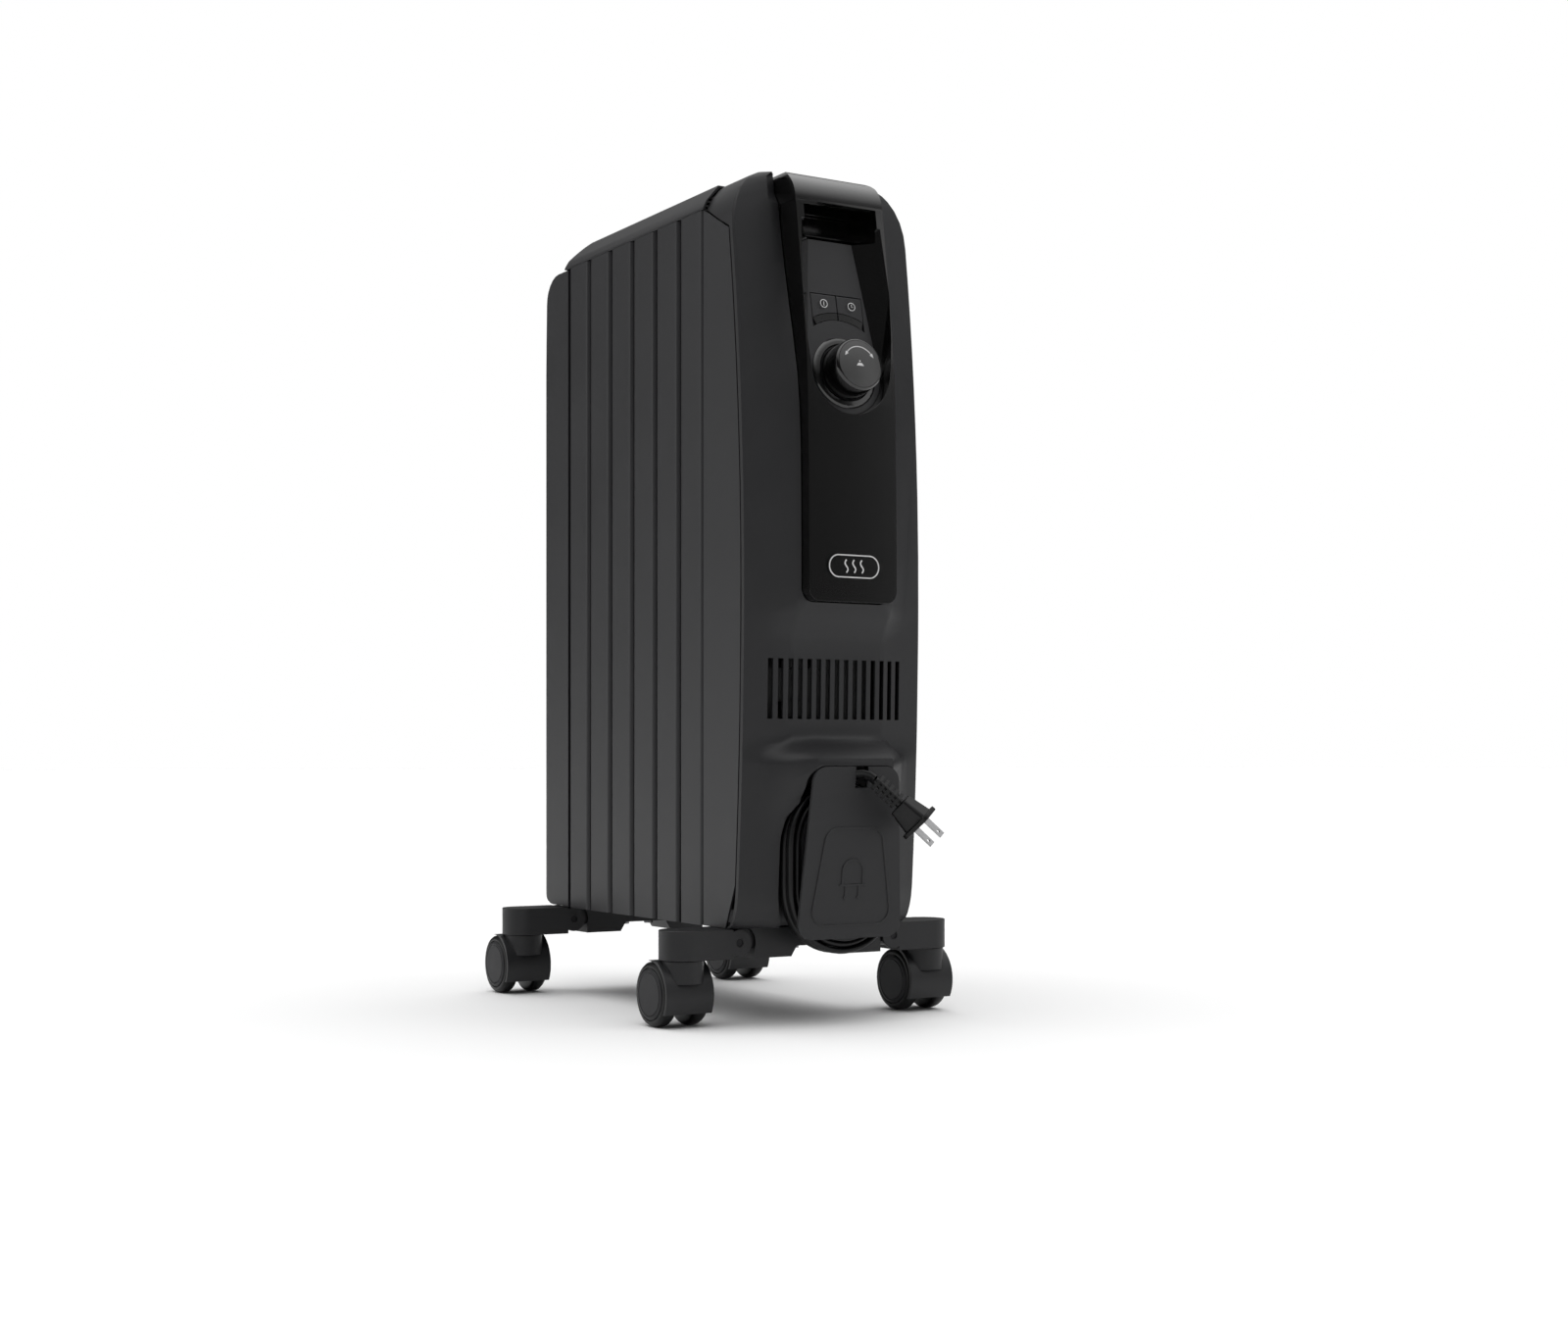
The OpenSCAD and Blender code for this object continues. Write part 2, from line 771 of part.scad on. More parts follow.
module control_board() {
    color("darkgreen")
        on_panel() {
            translate([-19, board_gap, -24])
                cube([38, 1.6, 104]);
            // standoffs behind the control panel
            for (x = [-15, 11], z = [-22, 72])
                translate([x, key_t, z])
                    cube([4, board_gap - key_t, 4]);
            // key switches under the stems
            for (side = [-1, 1])
                translate([side * 12.6 - 3, key_t + 5.6 + key_travel + 0.6, 51])
                    cube([6, board_gap - key_t - 5.6 - key_travel - 0.6, 6]);
        }
}

module power_board() {
    y = depth_y(36);
    color("darkgreen") {
        translate([-50, y, vent_z - 5])
            cube([100, 1.6, 100]);
        // standoffs on the heat shield
        for (x = [-45, 45], z = [vent_z, vent_z + 90])
            translate([x, depth_y(shield_depth), z])
                rotate([90, 0, 0])
                    cylinder(r = 3, h = 36 - shield_depth);
        // two relays, a capacitor and the mains terminals
        for (x = [-40, -12])
            translate([x, y - 16, vent_z + 40])
                cube([20, 16, 28]);
        translate([25, y, vent_z + 60])
            rotate([90, 0, 0])
                cylinder(d = 14, h = 18);
        translate([-35, y - 10, vent_z + 2])
            cube([40, 10, 12]);
    }
}

module badge() {
    h = 20;
    z = strip_z + 27;
    color(steel)
        difference() {
            forwards(strip_depth - 1, strip_depth + 1)
                translate([0, z])
                    rounded([badge_w, h], h / 2 - 0.1);
            forwards(strip_depth + 0.4, strip_depth + 3)
                translate([0, z])
                    rounded([badge_w - 3, h - 3], h / 2 - 1.6);
            forwards(strip_depth - 5, strip_face(z - h / 2))
                translate([0, z])
                    square([badge_w + 2, h + 2], center = true);
        }
}

// ---- Heating ----

module heating_element() {
    z = panel_z + header_inset;
    rod_r = 3;
    reach = stack_l - 40;
    color(steel)
        translate([0, front_y, z]) {
            for (side = [-1, 1])
                translate([side * 4.5, reach, 0])
                    rotate([90, 0, 0])
                        cylinder(r = rod_r, h = reach + 8);
            translate([0, reach, 0])
                rotate_extrude(angle = 180)
                    translate([4.5, 0])
                        circle(rod_r);
            // flange and terminals
            translate([0, -2, 0])
                rotate([90, 0, 0])
                    cylinder(r = header_r, h = 5);
            for (side = [-1, 1])
                translate([side * 4.5 - 0.4, -20, -3])
                    cube([0.8, 13, 6]);
        }
}

module element_gasket() {
    color("dimgray")
        translate([0, front_y, panel_z + header_inset])
            rotate([90, 0, 0])
                difference() {
                    cylinder(r = header_r, h = 2);
                    translate([0, 0, -1])
                        cylinder(r = header_bore_r, h = 4);
                }
}

module thermal_cutout() {
    color("whitesmoke")
        translate([0, front_y, panel_z + header_inset + 110]) {
            translate([0, element_pitch / 2 - web_t / 2, 0])
                rotate([90, 0, 0])
                    cylinder(r = 8, h = 9);
            translate([-12, element_pitch / 2 - web_t / 2 - 1.2, -3])
                cube([24, 1.2, 6]);
        }
}

module filler_plug() {
    color(steel)
        translate([0, front_y, top_z - header_inset])
            rotate([90, 0, 0]) {
                translate([0, 0, -8])
                    cylinder(r = header_bore_r, h = 8);
                cylinder(r = header_bore_r + 4, h = 5, $fn = 6);
            }
}

// ---- Mains cord ----

module racetrack(half_x, half_z) {
    hull()
        for (side = [-1, 1])
            translate([0, side * (half_z - half_x)])
                circle(half_x, $fn = 64);
}

// Side profile of the housing's flat face behind the wound cord, drawn grow outside it
module low_face_profile(grow) {
    rows = [for (z = cover_levels) if (z <= hood_z - 5) [depth_y(crease(z) + grow), z]];
    polygon(concat([[front_y, panel_z]], rows, [[front_y, hood_z - 5]]));
}

module screw_places() {
    for (side = [-1, 1])
        translate([side * 20, 0, -66])
            children();
}

module cord_wrap_post() {
    back = 44;
    front = coil_back + coil_w + 0.8;
    color(charcoal)
        difference() {
            union() {
                forwards(back, front)
                    translate([0, coil_z])
                        difference() {
                            racetrack(post_half_w, post_half_h);
                            racetrack(post_half_w - wall, post_half_h - wall);
                        }
                // plate across the back, and the posts that take the cover's screws
                forwards(coil_back - wall, coil_back)
                    translate([0, coil_z])
                        racetrack(post_half_w - 1, post_half_h - 1);
                on_cover()
                    screw_places()
                        translate([0, cover_t, 0])
                            rotate([-90, 0, 0])
                                cylinder(r = 4.5, h = screw_head - cover_t - 1);
            }
            on_cover()
                screw_places()
                    rotate([-90, 0, 0])
                        cylinder(r = screw_r, h = 40);
            // window and hole that the gland passes through
            translate([post_half_w - 6, depth_y(front + 1), coil_z + 7])
                cube([10, front - coil_back + 1, 10]);
            gland_root(0.3);
            across(body_w)
                low_face_profile(-0.2);
        }
}

// The part of the gland that comes out through the housing
module gland_root(grow) {
    forwards(50, gland_depth)
        translate([gland_x - 12, coil_z + 12])
            circle(4 + grow);
}

// The gland stands out of the housing inside the post and lays the cord along it
module cord_gland() {
    color([0.08, 0.08, 0.08]) {
        translate([gland_x, depth_y(gland_depth), coil_z - 14])
            cylinder(r1 = 2.6, r2 = 3.6, h = 24);
        translate([gland_x - 12, depth_y(gland_depth), coil_z + 12])
            rotate([0, 90, 0])
                cylinder(r = 4, h = 12.4);
        gland_root(0);
    }
}

// Moulds a piece on the cord cover: X across, Z up the cover, -Y outwards, origin at its top
module on_cover() {
    translate([0, depth_y(cover_depth), cover_top_z])
        rotate([cover_lean, 0, 0])
            children();
}

module cover_outline(grow) {
    top_half = 39;
    low_half = 46.5;
    r = 12;
    hull() {
        for (side = [-1, 1]) {
            translate([side * (top_half - r), -r])
                circle(r + grow);
            translate([side * (low_half - r), r - cover_h])
                circle(r + grow);
        }
    }
}

module cover_field(grow) {
    r = 12;
    hull() {
        for (side = [-1, 1]) {
            translate([side * (27 - r), -46 - r])
                circle(r + grow);
            translate([side * (35.5 - r), 10 + r - cover_h])
                circle(r + grow);
        }
    }
}

module cord_cover() {
    color(charcoal)
        on_cover()
            rotate([90, 0, 0])
                difference() {
                    union() {
                        translate([0, 0, -cover_t])
                            linear_extrude(cover_t)
                                cover_outline(0);
                        // raised line round the lower field and the plug symbol in it
                        linear_extrude(0.8)
                            difference() {
                                cover_field(0);
                                cover_field(-1.2);
                            }
                        plug_symbol();
                    }
                    // notch for the cord at the top
                    translate([-1, -16, -10])
                        cube([11, 30, 20]);
                    for (side = [-1, 1])
                        translate([side * 20, -66, -10])
                            cylinder(r = screw_r, h = 10 - screw_tip);
                }
}

module plug_symbol() {
    line = 1.4;
    linear_extrude(0.8)
        translate([0, -80]) {
            difference() {
                union() {
                    circle(10);
                    translate([-10, -10])
                        square([20, 10]);
                }
                circle(10 - line);
                translate([-10 + line, -11])
                    square([20 - 2 * line, 11]);
            }
            translate([-12, -11])
                square([24, line]);
            for (side = [-1, 1]) {
                translate([side * 6 - line / 2, -19])
                    square([line, 8]);
                translate([side * 6, -20])
                    circle(1.6);
            }
        }
}

module cover_screws() {
    color(steel)
        on_cover()
            screw_places()
                rotate([-90, 0, 0]) {
                    translate([0, 0, screw_tip + 0.1])
                        cylinder(r = screw_r - running_gap, h = screw_head - screw_tip);
                    translate([0, 0, screw_head])
                        cylinder(r = 3.5, h = 1.6);
                }
}

module cord_coil() {
    color([0.08, 0.08, 0.08])
        forwards(coil_back, coil_back + coil_w)
            translate([0, coil_z])
                difference() {
                    racetrack(post_half_w + 0.2 + coil_t, post_half_h + 0.2 + coil_t);
                    racetrack(post_half_w + 0.2, post_half_h + 0.2);
                }
}

// Points of a flat cord's section: an ellipse of the cord's width and thickness
function ring(at, along, wide, thick, sides) =
    let (t = along / norm(along), level = cross(cross(t, wide), t), u = level / norm(level),
        v = cross(t, u))
    [for (k = [0:sides - 1]) let (a = 360 * k / sides)
        at + u * cos(a) * thick[0] / 2 + v * sin(a) * thick[1] / 2];

function route_point(p) = [p[0], depth_y(p[1]), panel_z + p[2]];

// A tube swept through the route's points
module swept_cord(route, sides = 8) {
    pts = [for (p = route) route_point(p)];
    n = len(pts);
    rings = [for (i = [0:n - 1])
        let (along = pts[min(i + 1, n - 1)] - pts[max(i - 1, 0)])
        each ring(pts[i], along, [0, -1, 0.6], [cord_w, cord_t], sides)];
    faces = [for (i = [0:n - 2]) for (k = [0:sides - 1])
        let (a = i * sides + k, b = i * sides + (k + 1) % sides)
        each [[a, a + sides, b], [b, a + sides, b + sides]]];
    ends = [[for (k = [0:sides - 1]) k], [for (k = [sides - 1:-1:0]) (n - 1) * sides + k]];
    polyhedron(points = rings, faces = concat(faces, ends), convexity = 4);
}

module cord_tail() {
    color([0.08, 0.08, 0.08])
        swept_cord(tail_route);
}

// Puts its children at the end of the cord: Z along the plug, X across its blades
module on_plug() {
    at = route_point(plug_at);
    dir = [plug_dir[0], -plug_dir[1], plug_dir[2]] / norm(plug_dir);
    translate(at)
        rotate([0, acos(dir[2]), atan2(dir[1], dir[0])])
            rotate([0, 0, plug_roll])
                children();
}

module plug_strain_relief() {
    ribs = 4;
    color([0.06, 0.06, 0.06])
        on_plug() {
            cylinder(r1 = 3.6, r2 = 4.6, h = relief_l);
            for (k = [0:ribs - 1])
                translate([-5 - k * 0.8, -3.6 - k * 0.3, 3 + k * relief_l / ribs])
                    cube([10 + k * 1.6, 7.2 + k * 0.6, 3.4]);
        }
}

module plug_body() {
    color([0.06, 0.06, 0.06])
        on_plug()
            translate([0, 0, relief_l]) {
                hull() {
                    linear_extrude(1)
                        rounded([18, 12], 3);
                    translate([0, 0, plug_l - 4])
                        linear_extrude(1)
                            rounded([24, 16], 4);
                }
                translate([0, 0, plug_l - 3.5])
                    linear_extrude(3.5)
                        rounded([30, 22], 6);
            }
}

module plug_blades() {
    color("gold")
        on_plug()
            translate([0, 0, relief_l + plug_l])
                for (side = [-1, 1])
                    difference() {
                        translate([side * 6.35 - 0.75, -3.2, 0])
                            cube([1.5, 6.4, 17]);
                        translate([side * 6.35 - 2, 0, 12.5])
                            rotate([0, 90, 0])
                                cylinder(r = 1.6, h = 4);
                    }
}

// ---- Feet ----

module foot_bar(y) {
    inner_w = foot_w - 2 * (3 + move_gap);
    color(charcoal)
        difference() {
            union() {
                difference() {
                    translate([-fold_x, y - foot_w / 2, foot_z])
                        cube([2 * fold_x, foot_w, foot_h]);
                    for (side = [-1, 1])
                        translate([side * fold_x, y + foot_w / 2 + 1, fold_z])
                            rotate([90, 0, 0])
                                cylinder(r = bar_cut_r, h = foot_w + 2);
                    // lower corners that the arms' undersides swing past
                    for (side = [-1, 1])
                        translate([side * fold_x - swing_room, y - foot_w / 2 - 1, foot_z - 1])
                            cube([2 * swing_room, foot_w + 2, fold_z - neck_drop - foot_z + 1]);
                }
                // necks that carry the fold pins
                for (side = [-1, 1]) {
                    translate([side > 0 ? fold_x - 20 : -fold_x, y - inner_w / 2, fold_z - neck_drop])
                        cube([20, inner_w, foot_z + foot_h - fold_z + neck_drop - 0.6]);
                    translate([side * fold_x, y + inner_w / 2, fold_z])
                        rotate([90, 0, 0])
                            cylinder(r = 9, h = inner_w);
                }
            }
            // arch in the middle of the underside
            translate([0, y + foot_w, foot_z - 8])
                rotate([90, 0, 0])
                    linear_extrude(2 * foot_w)
                        polygon([[-30, 0], [-20, 16], [20, 16], [30, 0]]);
            // moulded hollow from below, either side of the arch
            for (side = [-1, 1])
                translate([side > 0 ? 32 : -50, y - foot_w / 2 + 4, foot_z - 1])
                    cube([18, foot_w - 8, foot_h - 4]);
            for (side = [-1, 1])
                translate([side * fold_x, y + foot_w, fold_z])
                    rotate([90, 0, 0])
                        cylinder(r = axle_r, h = 2 * foot_w);
            for (side = [-1, 1])
                translate([side * 12, y, foot_z - 1])
                    cylinder(r = 2.2, h = foot_h + 2);
        }
}

module front_foot_bar() {
    foot_bar(front_stem_y);
}

module rear_foot_bar() {
    foot_bar(rear_stem_y);
}

module fold_pins() {
    color(steel)
        for (y = [front_stem_y, rear_stem_y], side = [-1, 1])
            translate([side * fold_x, y + foot_w / 2 - 1, fold_z])
                rotate([90, 0, 0])
                    cylinder(r = axle_r, h = foot_w - 2);
}

module foot_screws() {
    color(steel)
        for (y = [front_stem_y, rear_stem_y], side = [-1, 1])
            translate([side * 12, y, foot_z + 5.4]) {
                cylinder(r = 2, h = foot_h - 5);
                translate([0, 0, -0.4])
                    cylinder(r = 4, h = 3);
            }
}

// One arm: side is 1 on the right and -1 on the left
module arm(side, y) {
    shoulder = 5.4;
    inner_w = foot_w - 6;
    color(charcoal)
        translate([side * fold_x, y, 0])
            mirror([side > 0 ? 0 : 1, 0, 0])
                difference() {
                    union() {
                        // body with a round outer end about the stem
                        translate([shoulder, -foot_w / 2, foot_z])
                            cube([stem_x - fold_x - shoulder, foot_w, foot_h]);
                        translate([stem_x - fold_x, 0, foot_z])
                            cylinder(r = foot_w / 2, h = foot_h, $fn = 96);
                        // cheeks outside the bar's neck
                        for (face = [-1, 1])
                            translate([0, face * (foot_w / 2 - 1.5) + 1.5, fold_z])
                                rotate([90, 0, 0])
                                    cylinder(r = knuckle_r, h = 3);
                    }
                    // room for the bar's round neck
                    translate([0, inner_w / 2, fold_z])
                        rotate([90, 0, 0])
                            cylinder(r = 9 + move_gap, h = inner_w);
                    // pin holes in the cheeks
                    translate([0, foot_w, fold_z])
                        rotate([90, 0, 0])
                            cylinder(r = axle_r + running_gap, h = 2 * foot_w);
                    // moulded hollow from below
                    translate([14, -foot_w / 2 + 3, foot_z - 1])
                        cube([stem_x - fold_x - 26, foot_w - 6, foot_h - 2]);
                    // bore for the stem
                    translate([stem_x - fold_x, 0, foot_z - 1])
                        cylinder(r = stem_r + running_gap, h = foot_h - 2);
                }
}

module front_left_arm() {
    arm(-1, front_stem_y);
}

module front_right_arm() {
    arm(1, front_stem_y);
}

module rear_left_arm() {
    arm(-1, rear_stem_y);
}

module rear_right_arm() {
    arm(1, rear_stem_y);
}

// ---- Castors ----

// Places a castor piece at its stem
module at_stem(side, y) {
    translate([side * stem_x, y, 0])
        children();
}

module along_axle(h) {
    translate([-h / 2, wheel_trail, wheel_d / 2])
        rotate([0, 90, 0])
            children();
}

module caster_hood() {
    top = foot_z - move_gap;
    web = 2 * (wheel_x - wheel_w / 2) - 2 * move_gap;
    color(charcoal)
        difference() {
            union() {
                translate([0, 0, wheel_d / 2 + 9])
                    cylinder(r = collar_r, h = top - wheel_d / 2 - 9, $fn = 64);
                translate([0, 0, top - eps])
                    cylinder(r = stem_r, h = foot_h - 4);
                difference() {
                    along_axle(2 * wheel_x + wheel_w - 1)
                        cylinder(r = hood_r, h = 2 * wheel_x + wheel_w - 1, $fn = 96);
                    // open behind the axle, outside the middle web
                    for (side = [-1, 1])
                        translate([side > 0 ? web / 2 : -web / 2 - 30, wheel_trail + 1, 0])
                            cube([30, 60, 80]);
                    translate([-40, -40, -20])
                        cube([80, 120, 20 + hood_foot]);
                    translate([-40, -40, top])
                        cube([80, 120, 20]);
                }
            }
            // room for the two wheels
            for (side = [-1, 1])
                translate([side > 0 ? web / 2 : -web / 2 - 20, wheel_trail, wheel_d / 2])
                    rotate([0, 90, 0])
                        cylinder(r = wheel_d / 2 + 0.8, h = 20, $fn = 96);
            // the middle web ends short of the wheels' round at the rear
            difference() {
                translate([-web / 2 - 1, wheel_trail, 0])
                    cube([web + 2, 60, wheel_d + 10]);
                along_axle(web + 4)
                    cylinder(r = wheel_d / 2 - 4, h = web + 4);
            }
            along_axle(80)
                cylinder(r = axle_r + running_gap, h = 80);
        }
}

module caster_axle() {
    axle_l = 2 * wheel_x + wheel_w - 5;
    color(steel)
        along_axle(axle_l)
            cylinder(r = axle_r, h = axle_l);
}

// One wheel with a soft tyre and a domed hub cap on its outer face
// One wheel, its tread pressed flat where it bears on the floor
module wheel(side) {
    r = wheel_d / 2 + tread_press;
    color([0.05, 0.05, 0.05])
        difference() {
            translate([side * wheel_x, wheel_trail, wheel_d / 2])
                rotate([0, side * 90, 0])
                    difference() {
                        rotate_extrude($fn = 96)
                            polygon([[0, -wheel_w / 2], [r - 2.5, -wheel_w / 2], [r, 2.5 - wheel_w / 2],
                                [r, wheel_w / 2 - 3.5], [r - 3, wheel_w / 2 - 0.8],
                                [r - 5.5, wheel_w / 2 - 0.8], [r - 6, wheel_w / 2 - 0.4],
                                [0, wheel_w / 2]]);
                        translate([0, 0, -wheel_w])
                            cylinder(r = axle_r + running_gap, h = wheel_w + wheel_w / 2 - 2);
                    }
            translate([-60, -60, -20])
                cube([120, 160, 20]);
        }
}

fin(1);  // fin_1
fin(2);  // fin_2
fin(3);  // fin_3
fin(4);  // fin_4
fin(5);  // fin_5
fin(6);  // fin_6
top_frame();
rear_cover();
front_collar();
front_cover();
heat_shield();
control_fascia();
handle_bar();
handle_pocket();
display_panel();
power_key();
timer_key();
thermostat_knob();
knob_ring();
rotary_encoder();
control_board();
power_board();
badge();
heating_element();
element_gasket();
thermal_cutout();
filler_plug();
cord_gland();
cord_wrap_post();
cord_cover();
cover_screws();
cord_coil();
cord_tail();
plug_strain_relief();
plug_body();
plug_blades();
front_foot_bar();
rear_foot_bar();
fold_pins();
foot_screws();
front_left_arm();
front_right_arm();
rear_left_arm();
rear_right_arm();
at_stem(-1, front_stem_y) caster_hood();  // front_left_hood
at_stem(1, front_stem_y) caster_hood();  // front_right_hood
at_stem(-1, rear_stem_y) caster_hood();  // rear_left_hood
at_stem(1, rear_stem_y) caster_hood();  // rear_right_hood
at_stem(-1, front_stem_y) caster_axle();  // front_left_axle
at_stem(1, front_stem_y) caster_axle();  // front_right_axle
at_stem(-1, rear_stem_y) caster_axle();  // rear_left_axle
at_stem(1, rear_stem_y) caster_axle();  // rear_right_axle
at_stem(-1, front_stem_y) wheel(-1);  // front_left_wheel_out
at_stem(-1, front_stem_y) wheel(1);  // front_left_wheel_in
at_stem(1, front_stem_y) wheel(1);  // front_right_wheel_out
at_stem(1, front_stem_y) wheel(-1);  // front_right_wheel_in
at_stem(-1, rear_stem_y) wheel(-1);  // rear_left_wheel_out
at_stem(-1, rear_stem_y) wheel(1);  // rear_left_wheel_in
at_stem(1, rear_stem_y) wheel(1);  // rear_right_wheel_out
at_stem(1, rear_stem_y) wheel(-1);  // rear_right_wheel_in
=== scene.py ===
import json
import math

import bmesh
import bpy
from mathutils import Matrix, Vector

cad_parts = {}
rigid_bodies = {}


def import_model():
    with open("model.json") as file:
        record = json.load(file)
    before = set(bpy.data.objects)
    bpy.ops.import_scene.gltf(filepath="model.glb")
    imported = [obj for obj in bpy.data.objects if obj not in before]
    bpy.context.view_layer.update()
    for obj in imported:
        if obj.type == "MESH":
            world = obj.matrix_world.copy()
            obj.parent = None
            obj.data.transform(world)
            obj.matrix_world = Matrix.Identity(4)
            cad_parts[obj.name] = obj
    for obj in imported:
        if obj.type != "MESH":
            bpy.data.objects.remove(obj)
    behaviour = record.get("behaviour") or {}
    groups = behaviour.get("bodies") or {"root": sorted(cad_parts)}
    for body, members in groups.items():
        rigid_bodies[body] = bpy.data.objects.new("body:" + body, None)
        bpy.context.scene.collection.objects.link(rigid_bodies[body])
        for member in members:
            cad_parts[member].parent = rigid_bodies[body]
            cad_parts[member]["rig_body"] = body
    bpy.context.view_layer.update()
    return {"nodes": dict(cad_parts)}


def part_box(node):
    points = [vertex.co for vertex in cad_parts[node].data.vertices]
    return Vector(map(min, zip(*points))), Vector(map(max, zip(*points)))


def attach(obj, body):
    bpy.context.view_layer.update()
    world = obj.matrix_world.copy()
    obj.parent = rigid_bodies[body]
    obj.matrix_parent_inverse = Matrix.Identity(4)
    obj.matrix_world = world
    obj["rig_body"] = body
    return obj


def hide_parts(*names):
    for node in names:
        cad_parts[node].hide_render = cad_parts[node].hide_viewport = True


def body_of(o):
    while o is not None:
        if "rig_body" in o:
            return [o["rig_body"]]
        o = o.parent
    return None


bl_info = {
    "name": "Oil filled radiator heater",
    "version": (1, 0, 0),
    "blender": (4, 5, 0),
    "location": "View3D > Sidebar > Heater",
    "description": "Finishes and fine pieces of an oil filled radiator heater",
    "category": "Object",
}

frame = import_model()

MM = 0.001
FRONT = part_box("fin_1")[0].y - 1.5 * MM          # front plane of the element stack
PANEL_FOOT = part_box("fin_1")[0].z                # lower edge of the side panels
# depths of the castors' stems, which stand beyond the fold pins' ends
STEMS = {"front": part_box("fold_pins")[0].y + 17 * MM, "rear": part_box("fold_pins")[1].y - 17 * MM}
STEM_X = 111.7 * MM                              # stems to the middle plane
WHEEL_X = 14.5 * MM                              # stem to the middle of a wheel, along the axle
TRAIL = 14.8 * MM                                # stem to the axle, from front to back
WHEEL_R = 25 * MM
SIDES = {"left": -1, "right": 1}

LEAN = math.radians(11)                          # lean of the control panel
KNOB_AT = Vector((0, FRONT - 78 * MM, 0.5))
PANEL_OUT = Vector((0, -math.cos(LEAN), math.sin(LEAN)))
PANEL_UP = Vector((0, math.sin(LEAN), math.cos(LEAN)))

# The free cord: x, depth in front of the element stack, height above the side panels' foot
TAIL = [(-24, 76, 105), (-18, 78, 109), (-12, 81, 113), (-6, 86, 116), (1, 91, 118.5),
        (5, 97, 119), (8, 101.5, 117.5), (10, 104.5, 113.5)]
PLUG_DIR = Vector((0.62, -0.38, -0.69)).normalized()
PLUG_ROLL = math.radians(38)                     # turn of the plug about its own line
RELIEF_L = 27 * MM
WELD = 2e-6                                      # points closer than this are one
RIM_STEPS = 96                                   # facets round a knob or wheel


def route_point(p):
    """A point of the cord's route in the row frame."""
    return Vector((p[0] * MM, FRONT - p[1] * MM, PANEL_FOOT + p[2] * MM))


# ---- Sizes and colours a user may change ----

class HeaterFinishes(bpy.types.PropertyGroup):
    enamel: bpy.props.StringProperty(
        name="Enamel", description="sRGB hex of the element panels", default="#202022")
    shell: bpy.props.StringProperty(
        name="Shell", description="sRGB hex of the moulded covers", default="#1B1B1D")
    strip: bpy.props.StringProperty(
        name="Strip", description="sRGB hex of the glossy control strip", default="#060606")
    print_ink: bpy.props.StringProperty(
        name="Print", description="sRGB hex of the printed symbols", default="#C9C9C9")


class HeaterSizes(bpy.types.PropertyGroup):
    edge: bpy.props.FloatProperty(
        name="Edge", description="Rounding of the moulded edges", default=0.6 * MM, unit="LENGTH")
    cord_w: bpy.props.FloatProperty(
        name="Cord width", description="Width of the flat cord", default=9 * MM, unit="LENGTH")
    cord_t: bpy.props.FloatProperty(
        name="Cord thickness", description="Thickness of the flat cord", default=5 * MM, unit="LENGTH")
    print_h: bpy.props.FloatProperty(
        name="Ink height", description="Height of a printed line", default=0.12 * MM, unit="LENGTH")


def finishes():
    return bpy.context.scene.heater_finishes


def sizes():
    return bpy.context.scene.heater_sizes


# ---- Materials ----

def linear(code):
    """Linear colour of an sRGB hex value."""
    parts = [int(code[i:i + 2], 16) / 255 for i in (1, 3, 5)]
    return [c / 12.92 if c <= 0.04045 else ((c + 0.055) / 1.055) ** 2.4 for c in parts] + [1.0]


def add(tree, kind, inputs=(), **settings):
    """Adds a node with its settings; inputs holds (socket, value or another node's output)."""
    node = tree.nodes.new(kind)
    for key, value in settings.items():
        setattr(node, key, value)
    for key, value in inputs:
        if isinstance(value, bpy.types.NodeSocket):
            tree.links.new(value, node.inputs[key])
        else:
            node.inputs[key].default_value = value
    return node


def surface(name, color, roughness, metallic=0.0, ior=1.5, coat=0.0, grain=0.0, grain_mm=1.0,
            mottle=0.0, mottle_mm=60.0):
    """A material with a fine grain in its surface and a slow mottle in its colour and gloss.

    Sizes are in millimetres. Real grain is finer, so it is drawn as coarse as it needs to show.
    """
    found = bpy.data.materials.get(name)
    if found:
        return found
    mat = bpy.data.materials.new(name)
    mat.use_nodes = True
    tree = mat.node_tree
    tree.nodes.clear()
    where = add(tree, "ShaderNodeTexCoord").outputs["Object"]
    base = linear(color)
    shader = add(tree, "ShaderNodeBsdfPrincipled", [
        ("Metallic", metallic), ("IOR", ior), ("Coat Weight", coat), ("Coat Roughness", 0.06)])
    cloud = add(tree, "ShaderNodeTexNoise", [
        ("Vector", where), ("Scale", 1 / (mottle_mm * MM)), ("Detail", 3.0), ("Roughness", 0.55)])
    tone = add(tree, "ShaderNodeValToRGB", [("Fac", cloud.outputs["Fac"])])
    tone.color_ramp.elements[0].position = 0.3
    tone.color_ramp.elements[1].position = 0.7
    tone.color_ramp.elements[0].color = [c * (1 - mottle) for c in base[:3]] + [1]
    tone.color_ramp.elements[1].color = [min(1, c * (1 + mottle)) for c in base[:3]] + [1]
    color_out = tone.outputs["Color"]
    tree.links.new(color_out, shader.inputs["Base Color"])
    gloss = add(tree, "ShaderNodeMapRange", [
        ("Value", cloud.outputs["Fac"]), ("To Min", roughness * 0.88), ("To Max", min(1, roughness * 1.12))])
    tree.links.new(gloss.outputs["Result"], shader.inputs["Roughness"])
    if grain:
        spark = add(tree, "ShaderNodeTexNoise", [
            ("Vector", where), ("Scale", 1 / (grain_mm * MM)), ("Detail", 2.0), ("Roughness", 0.6)])
        bump = add(tree, "ShaderNodeBump", [
            ("Strength", 1.0), ("Distance", grain * MM), ("Height", spark.outputs["Fac"])])
        tree.links.new(bump.outputs["Normal"], shader.inputs["Normal"])
    out = add(tree, "ShaderNodeOutputMaterial")
    tree.links.new(shader.outputs["BSDF"], out.inputs["Surface"])
    mat.diffuse_color = base
    return mat


